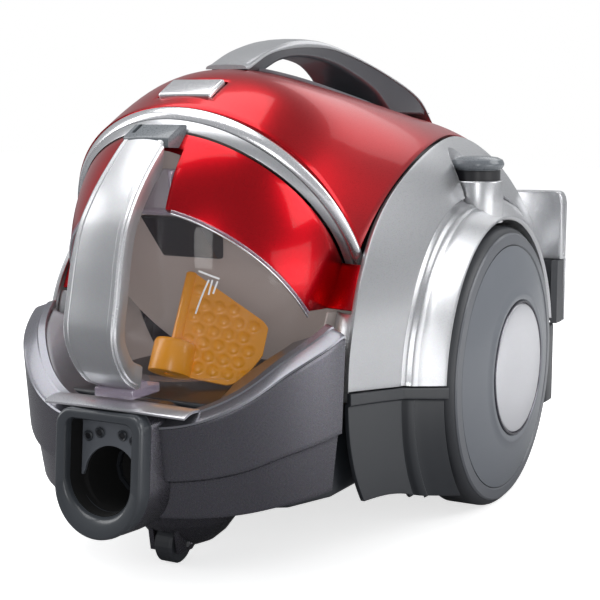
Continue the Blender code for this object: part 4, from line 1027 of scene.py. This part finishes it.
def make_bumper():
    levels = [(98.5, 80.5, BOTTOM_HEIGHT), (102.5, 85.0, STEP_HEIGHT, -1.2),
              (105.5, 88.4, STEP_HEIGHT, 0.6), (NOSE_HALF_WIDTH, NOSE_PLAN_DEPTH, RIM_HEIGHT)]
    rows_at = (0, 14, 17, 36)

    def skirt(u, v):
        row = u * rows_at[-1]
        k = 0 if row <= rows_at[1] else 1 if row <= rows_at[2] else 2
        t = (row - rows_at[k]) / (rows_at[k + 1] - rows_at[k])
        angle = NOSE_FIRST_ANGLE + (pi - 2 * NOSE_FIRST_ANGLE) * v
        return bumper_point(angle, *levels[k]).lerp(bumper_point(angle, *levels[k + 1]), t)

    bumper = panel("bumper_skirt", skirt, 36, 128, SHELL_THICKNESS, behind=(0, -95, 70))
    cut(bumper, inlet_room("bumper_opening"))
    put(softened(bumper, 0.5), GUNMETAL, "body", "front_bumper")

    section = [(108.0, 0.3), (107.6, 1.4), (106.2, 2.4), (100.0, 4.6), (99.4, 5.6), (95.4, 6.6),
               (94.6, 6.0), (94.6, 2.2), (105.0, -0.8)]
    rim = loft("bumper_rim", [[rim_point(angle, half_width, lift) for half_width, lift in section]
                              for angle in spread(NOSE_FIRST_ANGLE, pi - NOSE_FIRST_ANGLE, 128)])
    cut(rim, inlet_room("rim_opening"))
    put(rim, RIM, "body", sharp=30)
    make_cradle()


def inside_nose(point, margin):
    offset = point - NOSE_CENTRE
    parts = (offset.x, offset.dot(NOSE_UP), offset.dot(NOSE_FRONT))
    return sum((part / (r + margin)) ** 2 for part, r in zip(parts, NOSE_RADII)) < 1


def make_cradle():
    """The seat inside the rim, the pale side walls behind it and the strip over the inlet."""
    def seat(u, v):
        start = 0.28
        angle = start + (pi - 2 * start) * v
        edge = rim_point(angle, 95.0, -4.0)

        def shrunk(scale):
            return Vector((edge.x * scale, NOSE_PLAN_Y + (edge.y - NOSE_PLAN_Y) * scale, edge.z))

        scale = turning_point(0.2, 1.0, lambda scale: inside_nose(shrunk(scale), 2.0))
        return rim_point(angle, 95.0, 3.4).lerp(shrunk(scale), u)

    cradle = panel("cradle_seat", seat, 10, 128, 2.0, behind=(0, -95, -100))
    cut(cradle, foot_ring("cradle_foot_room", 1.5, FOOT_LOW_Z - 30, FOOT_HIGH_Z))
    cut(cradle, inlet_room("cradle_opening"))
    put(softened(cradle, 0.4), SEAT, "body", "bin_cradle")

    for side, word in SIDES:
        def wall(u, v):
            start = Vector((0, -96.0 + 50.0 * v, 92.0 + 56.0 * u))
            return on_nose(start, Vector((side, 0, 0)), 4.0)

        put(panel("cradle_wall_" + word, wall, 24, 24, 1.2, behind=(0, -60, 120)), BACK_GREY,
            "body")

    def apron(u, v):
        x = -46.0 + 92.0 * v
        bow = (x / 37.0) ** 2
        start = Vector((x, -195.5 + 7.0 * bow, 105.4 - 2.4 * bow))
        end = Vector((x, -168.0 + 2.0 * bow, 103.5 - 1.0 * bow))
        return start.lerp(end, u) + Vector((0, 0, 9.0 * u * (1 - u)))

    put(softened(panel("inlet_apron", apron, 16, 48, 1.6, behind=(0, -180, 60)), 0.4), CRADLE,
        "body")


def inlet_outline(half_width, low, high, corner):
    """D shape with a flat top and a round bottom, as (x, z) points anticlockwise."""
    return (arc((0, low + half_width), (half_width, half_width), pi, 2 * pi, 48)
            + arc((half_width - corner, high - corner), (corner, corner), 0, pi / 2, 8)
            + arc((corner - half_width, high - corner), (corner, corner), pi / 2, pi, 8))


def round_outline(radius, centre_z):
    """A circle with the same run of points as inlet_outline."""
    return (arc((0, centre_z), (radius, radius), pi, 2 * pi, 48)
            + arc((0, centre_z), (radius, radius), pi / 36, 35 * pi / 36, 17))


def inlet_ring(outline, depth):
    """The outline set back by depth from the inlet's face, which leans back a little."""
    return [Vector((x, INLET_FACE_Y + depth + 0.08 * (z - 34), z)) for x, z in outline]


def inlet_shell(name, profile):
    """A closed skin through D shapes of (half width, low, high, corner, depth)."""
    return loft(name, [inlet_ring(inlet_outline(*shape), depth) for *shape, depth in profile],
                closed=True)


def make_hose_inlet():
    collar = inlet_shell("inlet_collar", [
        (28.0, 34.0, 103.0, 9.0, 13.0), (28.0, 34.0, 103.0, 9.0, 2.4),
        (27.7, 34.3, 102.7, 8.9, 0.9), (27.0, 35.0, 102.0, 8.4, 0.2),
        (26.2, 35.8, 101.2, 8.0, 0.0), (22.0, 41.6, 98.4, 5.5, 0.5),
        (21.3, 44.0, 97.7, 5.0, 1.4), (21.0, 45.6, 97.4, 4.6, 4.0),
        (20.6, 46.4, 97.0, 4.5, 13.0)])
    put(collar, COLLAR, "body", "hose_inlet_collar", sharp=40)
    fairing = inlet_shell("inlet_fairing", [
        (27.0, 35.0, 102.0, 8.4, 9.0), (28.3, 33.8, 103.2, 9.0, 9.4),
        (28.6, 33.6, 103.4, 9.0, 11.0), (30.5, 33.0, 104.5, 10.0, 22.0),
        (31.5, 33.0, 104.5, 10.0, 34.0), (26.0, 36.0, 101.0, 8.0, 34.0)])
    put(fairing, GUNMETAL, "body", sharp=40)
    make_throat()


def make_throat():
    """The dark throat behind the collar, and the plate with the hose's contacts."""
    throat = [inlet_ring(inlet_outline(20.8, 46.2, 97.2, 4.5), 5.2),
              inlet_ring(inlet_outline(20.4, 46.4, 97.0, 4.5), 16.0),
              inlet_ring(round_outline(17.4, 64.2), 17.0),
              inlet_ring(round_outline(16.8, 64.0), 30.0),
              inlet_ring(round_outline(16.4, 64.0), 44.0),
              inlet_ring(round_outline(18.4, 64.0), 44.0),
              inlet_ring(inlet_outline(22.4, 44.2, 99.0, 5.5), 18.0),
              inlet_ring(inlet_outline(22.4, 44.2, 99.0, 5.5), 5.4)]
    put(loft("inlet_throat", throat, closed=True), INLET_BLACK_AND_SHADE, "body", "hose_inlet_neck", sharp=30)
    # A black disc that closes the bore deep inside: painted shade.
    end = [inlet_ring(round_outline(17.0, 64.0), depth) for depth in (42.0, 43.0)]
    put(loft("inlet_bore_shade", end), INLET_BLACK_AND_SHADE, "body")

    def plate(u, v):
        x = -19.6 + 39.2 * v
        low = 64.2 + (max(17.6**2 - x * x, 0)) ** 0.5
        z = low + (96.2 - low) * u
        return inlet_ring([(x, z)], 13.5)[0]

    put(softened(panel("contact_plate", plate, 10, 36, 2.0, behind=(0, -100, 80)), 0.3),
        WHEEL_GREY, "body")
    for k, (x, z) in enumerate(((-15.0, 86.0), (-7.5, 88.5), (7.5, 88.5), (15.0, 86.0))):
        at = inlet_ring([(x, z)], 12.8)[0]
        out = (0, -1, -0.08)
        put(turned(f"inlet_contact_{k}", [(1.7, 0), (1.9, 0.7), (2.5, 1.0), (3.0, 0.5), (3.0, 0)],
                   at, out, 32), COLLAR, "body")
        put(turned(f"inlet_socket_{k}", [(0, 0), (1.6, 0), (1.6, 0.35), (0, 0.35)], at, out, 24,
                   closed=False), BLACK, "body")


# ---- sides
def groove_outline(angle, margin):
    radii = (GROOVE_RADII[0] + margin, GROOVE_RADII[1] + margin)
    return superellipse(GROOVE_CENTRE, radii, GROOVE_EXPONENT, angle)


def ear_outline(angle):
    radius = EAR_RADII[0] if cos(angle) < 0 else EAR_REAR_RADIUS
    return superellipse(EAR_CENTRE, (radius, EAR_RADII[1]), EAR_EXPONENT, angle)


def outline_ends(centre, front_radius, rear_radii, exponent):
    """The angles where a side outline meets the shell's rear edge and the split line."""
    first = acos(((SHELL_REAR_Y - centre[0]) / rear_radii[0]) ** (exponent / 2))
    low = split_z(centre[0] - front_radius) + SPLIT_GAP - centre[1]
    return first, pi - asin((low / rear_radii[1]) ** (exponent / 2))


def trimmed(y, z):
    return min(y, SHELL_REAR_Y), max(z, split_z(y) + SPLIT_GAP)


def pedal_clearance(side):
    x, y = PEDAL_CENTRE
    return turned("pedal_clearance", [(0, 60), (POCKET_RADIUS, 60), (POCKET_RADIUS, -0.4),
                                      (0, -0.4)], (side * x, y, COLUMN_BASE_Z), (0, 0, 1), 64,
                  closed=False)


def make_pedal_pocket(side, word):
    """The curved wall that closes the side shell behind the pedal."""
    base = COLUMN_BASE_Z - 6

    def point(u, v):
        angle = radians(95) + radians(170) * v
        x = PEDAL_CENTRE[0] + (POCKET_RADIUS - 0.2) * cos(angle)
        y = PEDAL_CENTRE[1] + (POCKET_RADIUS - 0.2) * sin(angle)
        top = turning_point(base, crest(y), lambda z: side_x(y, z) > x)
        return Vector((side * x, y, base + (top + 0.4 - base) * u))

    put(panel("pedal_pocket_" + word, point, 12, 48, 1.4, (0, PEDAL_CENTRE[1], 200)), SILVER,
        "body")


ARCH_SECTION = ((0.0, -2.0), (0.12, -2.2), (0.155, -1.4), (0.17, 0.2), (0.2, 0.9), (0.31, 1.1),
                (0.335, 0.5), (0.36, 0.9), (0.5, 1.0), (0.65, 0.9), (0.8, 0.7), (0.92, 0.5),
                (0.97, 0.3), (1.0, 0))


def make_side(side, word):
    """The side shell, and the wheel arch between its groove and the lip round the wheel."""
    groove_first, groove_last = outline_ends(GROOVE_CENTRE, GROOVE_RADII[0], (
        GROOVE_RADII[0] + 1.0, GROOVE_RADII[1] + 1.0), GROOVE_EXPONENT)
    ear_first, ear_last = outline_ends(EAR_CENTRE, EAR_RADII[0], (EAR_REAR_RADIUS, EAR_RADII[1]),
                                       EAR_EXPONENT)

    def shell_point(u, v):
        y0, z0 = groove_outline(groove_first + (groove_last - groove_first) * v, 1.0)
        y1, z1 = ear_outline(ear_first + (ear_last - ear_first) * v)
        y = y0 + (y1 - y0) * u
        z = z0 + (z1 - z0) * u
        return Vector((side * side_x(y, z), y, z))

    shell = panel("side_panel_" + word, shell_point, 24, 144, SHELL_THICKNESS)
    cut(shell, pedal_clearance(side))
    put(softened(shell, 0.6, 3), SILVER, "body", "side_shell_" + word)

    def round_wheel(radius, angle):
        return trimmed(AXLE_Y + radius * cos(angle), WHEEL_RADIUS + radius * sin(angle))

    rings = []
    for angle in spread(radians(9), radians(178.5), 144):
        gy, gz = trimmed(*groove_outline(angle, -0.4))
        gx = side_x(gy, gz)
        lip_y, lip_z = round_wheel(ARCH_LIP_RADIUS, angle)
        well = round_wheel(ARCH_WELL_RADIUS, angle)
        ring = [(gx + (ARCH_LIP_X - gx) * t + stand, gy + (lip_y - gy) * t, gz + (lip_z - gz) * t)
                for t, stand in ARCH_SECTION]
        ring += [(ARCH_LIP_X - 1.5, *well), (ARCH_LIP_X - 30, *well), (gx - 8, gy, gz)]
        rings.append([Vector((side * x, y, z)) for x, y, z in ring])
    arch = loft("arch_panel_" + word, rings)
    cut(arch, pedal_clearance(side))
    put(softened(arch, 0.5), SILVER, "body", "wheel_arch_" + word)


SKIRT_BOTTOM = [(-110, 42), (-70, 39), (-50, 35.5), (-30, 29.5), (0, 23), (20, 19.5)]
FLANGE_HEIGHT = 7.0


def make_skirt(side, word):
    """The dark lower side in front of the wheel, in line with the shell and the arch."""
    strip = ((0.0, 0.0), (0.03, -3.0), (0.12, -3.0), (0.16, -1.0), (0.3, -0.6), (0.36, -2.6),
             (0.7, -2.2), (1.0, -1.5))

    def point(u, v):
        y, z = -100.0, 70.0
        for _ in range(5):
            top = split_z(y) - 0.6
            z = top + (smooth_through(SKIRT_BOTTOM, y) - top) * u
            front = ear_front(z)
            groove = front_edge(GROOVE_CENTRE, GROOVE_RADII, GROOVE_EXPONENT, z)
            lip = AXLE_Y - (ARCH_LIP_RADIUS**2 - (z - WHEEL_RADIUS) ** 2) ** 0.5
            if v < 0.5:
                y = front + (groove - front) * v * 2
            else:
                y = groove + (lip - groove) * (2 * v - 1)
        stand = 0.0
        if v < 0.5:
            x = side_x(y, z)
        else:
            t = 2 * v - 1
            x = side_x(groove, z) * (1 - t) + ARCH_LIP_X * t
            stand = smooth_through(strip, t)
        if z > top - FLANGE_HEIGHT:
            stand = 1.6
        return Vector((side * (x + stand), y, z))

    skirt = panel("chassis_skirt_" + word, point, 60, 120, 2.4, (0, -40, 90))
    put(softened(skirt, 0.4), DARK, "body")


def make_chassis():
    """The lower body between the wheels, with its rear corners behind them."""
    half = [(0, -158), (52, -158), (82, -138), (93, -108), (93, -30), (93, 172), (118, 175),
            (121, 179), (121, 193.6), (0, 193.6)]
    pan = extruded("chassis_pan", both_sides(half), 46.0, 103.5, 2)
    cut(pan, turned("caster_room", [(0, 0), (35.5, 0), (35.5, 50), (0, 50)], (0, -113, 0),
                    (0, 0, 1), 64, closed=False))
    put(softened(pan, 3.0, 3), DARK, "body", "lower_chassis")

    def lip(u, v):
        angle = radians(4) + radians(172) * v
        outer = dome_point(REAR_TRIM_Y - 1.0, angle, -1.2)
        inner = dome_point(REAR_TRIM_Y - 1.0, angle, -13.0)
        return outer.lerp(inner, u) + Vector((0, 2.8 * u, 0))

    put(panel("rear_lip", lip, 6, 72, 1.2), DARK, "body")


def make_cheek(side, word):
    """The lid's red tab and the silver wall below it, both just behind the shell's front edge."""
    def tab(u, v):
        z = LID_LOW_Z + 0.6 + 24.0 * v
        y = ear_front(z) + 3.0
        start = on_nose(Vector((0, y, z)), Vector((1, 0, 0)), -1.5).x
        x = start + (99.6 - start) * u
        return Vector((side * x, y + 5.0 * (1 - u) ** 2, z))

    put(softened(panel("lid_tab_" + word, tab, 12, 16, 1.6, (0, 40, 150)), 0.4), RED, "bin")

    def wall(u, v):
        z = 100.0 + 48.6 * v
        y = ear_front(z) + 4.0
        x = 86.5 + 14.5 * u
        return Vector((side * x, y + 7.0 * (1 - u) ** 2, z))

    put(softened(panel("cheek_wall_" + word, wall, 10, 20, 1.6, (0, 40, 150)), 0.4), SILVER,
        "body")


def make_pedal(side, word, cap_name):
    """A column on the shell, and the round cap that slides in it on a dark sleeve."""
    make_pedal_pocket(side, word)
    x, y = PEDAL_CENTRE
    top = COLUMN_TOP_Z - COLUMN_BASE_Z
    base = top - 6.0
    cap = top + 7.0

    def upright(name, profile, closed=False):
        return turned(name, profile, (side * x, y, COLUMN_BASE_Z), (0, 0, 1), 72, closed)

    column = upright("column_" + word, [(15.6, top), (16.3, top), (17.0, top - 0.8), (17.0, -9.5),
                                        (0, -9.5), (0, 2.5), (15.6, 2.5)])
    put(softened(column, 0.3), SILVER, "body", "pedal_column_" + word)
    key = [(0, cap + 8.4), (8, cap + 8.2), (13, cap + 7.5), (16.2, cap + 6), (17.2, cap + 3.9),
           (17.2, cap + 2.4), (16.2, cap + 0.8), (14.6, cap), (14.4, cap - 0.6), (14.4, base),
           (4.0, base), (4.0, base - 2), (0, base - 2)]
    put(upright(cap_name + "_key", key), PEDAL_GREY, cap_name, cap_name)
    sleeve = [(14.5, cap - 0.4), (14.9, cap - 0.8), (14.9, base + 0.5), (14.5, base)]
    put(upright(cap_name + "_sleeve", sleeve, closed=True), BLACK, cap_name)


def make_wheel(side, word):
    """Tyre, ring, disc, hub trim and cap, as (radius, distance outwards from the inner face)."""
    face = HUB_FACE_X - WHEEL_INNER_X
    rim = TYRE_OUTER_X - WHEEL_INNER_X
    inner = DISC_RADIUS + 0.4
    hub = HUB_CAP_RADIUS

    def lathed(name, profile, paint, *nodes, closed=True):
        at = (side * WHEEL_INNER_X, AXLE_Y, WHEEL_RADIUS)
        made = turned(name + word, profile, at, (side, 0, 0), 128, closed)
        put(made, paint, word + "_wheel", *[node + word for node in nodes])

    lathed("wheel_tyre_", [(inner, rim + 3.2), (inner + 0.8, rim + 3.5),
                           *arc((82.0, rim - 5), (10.0, 8.4), pi / 2, 0, 8), (WHEEL_RADIUS, 3),
                           (90, 0), (inner, 0)], TYRE, "tyre_")
    lathed("wheel_ring_", [(79.8, rim + 3.2), (80.6, rim + 3.9), (86.6, rim + 3.3),
                           (87.6, rim + 2.4), (87.6, rim - 2), (79.8, rim - 2)], RING_GREY)
    lathed("wheel_trim_", [(hub + 0.1, face - 3), (hub + 0.3, face - 0.4), (hub + 0.8, face),
                           (hub + 1.4, face - 0.4), (hub + 1.6, face - 3)], GUNMETAL)
    step = hub + 7.8
    dish = [(step + (DISC_RADIUS - step) * t,
             face - 1.6 + (rim + 5.1 - face) * t + 2.8 * t * (1 - t)) for t in spread(0, 1, 8)]
    lathed("wheel_face_", [(6.5, face - 4.5), (hub + 1.7, face - 4.5), (hub + 1.7, face - 1.4),
                           (hub + 2.4, face - 0.8), (hub + 5.2, face - 0.5),
                           (hub + 6.6, face - 0.8), *dish, (DISC_RADIUS, 2), (70, 2), (66, 18),
                           (20, 18), (16, 1), (6.5, 1)], WHEEL_GREY, "wheel_disc_")
    lathed("wheel_cap_", [(0, face - 0.7), (hub * 0.5, face - 0.4), (hub - 2.4, face),
                          (hub - 0.8, face - 0.4), (hub, face - 1.4), (hub, face - 4.1),
                          (0, face - 4.1)], CRADLE, "hub_cap_", closed=False)


def make_rear_stand(side, word):
    """A wing that sweeps out behind the wheel, with a slot near its edge and room for the pad."""
    inner = [(86, 187), (93, 190.6), (101, 193.4), (107.5, 194.6)]
    tip = [(114, 195), (120, 194.6), (123.4, 193.6), (124.8, 194.6), (124.8, 204.6), (123.6, 206)]
    back = [(112, 206), (100, 204.6), (91, 201), (85, 197.4)]
    strip = [(107.5, 203.4), (124.8, 203.4), (124.8, 205.2), (123.6, 206)]
    pad_top = 149.8

    def ring(outline, z, inset=0.0):
        return [Vector((side * (x - inset * (x - 84) / 41), y, z)) for x, y in outline]

    wing = loft("stand_wing_" + word, [ring(inner + tip + back, z, inset) for z, inset in (
        (pad_top, 0), (190, 0), (194.5, 0.8), (197.6, 2.4), (198.9, 5.0))])
    slot = side * 124.4
    cut(wing, block("stand_slot", (slot - 1.2, 198.6, 153), (slot + 1.2, 201.2, 190)))
    put(softened(wing, 0.7), SILVER, "body", "rear_stand_" + word, sharp=30)
    foot = loft("stand_root_" + word, [ring(inner + strip + back, z) for z in (104.0, pad_top)])
    put(softened(foot, 0.5), SILVER, "body", sharp=30)


# ---- carry handle
HANDLE_TOP = [(-66, 286.0), (-45, 293.5), (-25, 298.8), (-8, 302), (10, 303.4), (30, 303),
              (50, 300), (75, 293), (100, 284), (125, 273.5), (145, 262.5), (157, 250)]
HANDLE_SEAM = [(-62, 283.4), (-40, 292.0), (-18, 296.0), (14, 298.1), (45, 296.9), (82, 288.5),
               (110, 277.5), (137, 264.5), (157, 247.5)]
HANDLE_UNDERSIDE = [(-44, 281), (-18, 289.4), (10, 291.6), (45, 288.2), (71, 280.4), (93, 269.8),
                    (110, 254)]
HANDLE_WIDTH = [(-66, 14), (-20, 14.5), (20, 15), (50, 17), (80, 22), (110, 30), (140, 36.5),
                (157, 38)]


def make_carry_handle():
    """A silver top and grey flanks, both swept over the cover, and the tray strip below them."""
    rings = []
    for y in spread(-65.5, 156.5, 140):
        w = smooth_through(HANDLE_WIDTH, y)
        top = smooth_through(HANDLE_TOP, y)
        seam = min(max(smooth_through(HANDLE_SEAM, y), crest(y) - 2), top - 2)
        radius = min(5.0, (top - seam) * 0.95)
        corner = arc((w - radius, top - 0.6 - 0.8 * radius), (radius, 0.8 * radius), 0, pi / 2, 6)
        half = [(0, seam), (w, seam), *corner, (w * 0.45, top - 0.2), (0, top)]
        rings.append([Vector((a, y, b)) for a, b in both_sides(half)])
    put(loft("handle_shell", rings), SILVER, "body", "carry_handle", sharp=38)

    rings = []
    for y in spread(-61.0, 155.0, 140):
        w = smooth_through(HANDLE_WIDTH, y)
        high = min(smooth_through(HANDLE_SEAM, y), smooth_through(HANDLE_TOP, y) - 2) + 0.6
        low = max(smooth_through(HANDLE_UNDERSIDE, y), crest(y) - 5)
        high = max(high, low + 1)
        radius = min(3.0, (high - low) * 0.4)
        corner = arc((w - 2.2 - radius, low + radius), (radius, -radius), 0, pi / 2, 6)
        half = [(0, high), (w - 1.0, high), *corner, (0, low + min(2.5, (high - low) * 0.3))]
        rings.append([Vector((a, y, b)) for a, b in both_sides(half)])
    put(loft("handle_flanks", rings), HANDLE_GREY, "body", "handle_grip", sharp=38)

    def tray(u, v):
        y = -50 + 162 * u
        share = max(26 * (1 - abs(2 * u - 1) ** 5) ** 0.5, 3) / dome_half_width(y)
        angle = acos(share ** (dome_exponent(y) / 2))
        return dome_point(y, angle + (pi - 2 * angle) * v, 2.4)

    put(softened(panel("handle_seat_tray", tray, 72, 20, 2.0), 0.7), WHEEL_GREY, "body",
        "handle_tray")


# ---- the CAD nodes that stay as they are
KEPT = (
    (SILVER, "rear_cover"),
    (GUNMETAL, "caster_fork"),
    (TYRE, "stand_pad_left stand_pad_right caster_wheel motor_front_seal"),
    (STEEL, "caster_axle axle_left axle_right motor_stator fan_rotor cord_reel_shaft"),
    (STEEL, "plate_drive_motor open_button_spring power_pedal_spring cord_rewind_pedal_spring"),
    (BLACK, "bin_bay_wall motor_housing cord_outlet"),
    (DARK, "inlet_duct motor_end_cover plate_coupling"),
    (FOAM, "pre_motor_filter exhaust_filter"),
    (WHITE, "cord_reel_drum"),
    (BOARD, "control_board"),
)


def dress_kept_nodes():
    for paint, names in KEPT:
        for name in names.split():
            node = NODES[name]
            if not node.material_slots:
                node.data.materials.append(paint["material"])
            for place in node.material_slots:
                place.material = paint["material"]


# ---- assembly
make_stage()
make_top_cover()
make_arch_band()
make_bin()
make_bin_handle()
make_compression_plate()
make_bin_inside()
make_fill_lines()
make_bumper()
make_hose_inlet()
for (side, word), cap in zip(SIDES, ("power_pedal", "cord_rewind_pedal")):
    make_side(side, word)
    make_skirt(side, word)
    make_cheek(side, word)
    make_rear_stand(side, word)
    make_pedal(side, word, cap)
    make_wheel(side, word)
make_chassis()
make_carry_handle()
dress_kept_nodes()
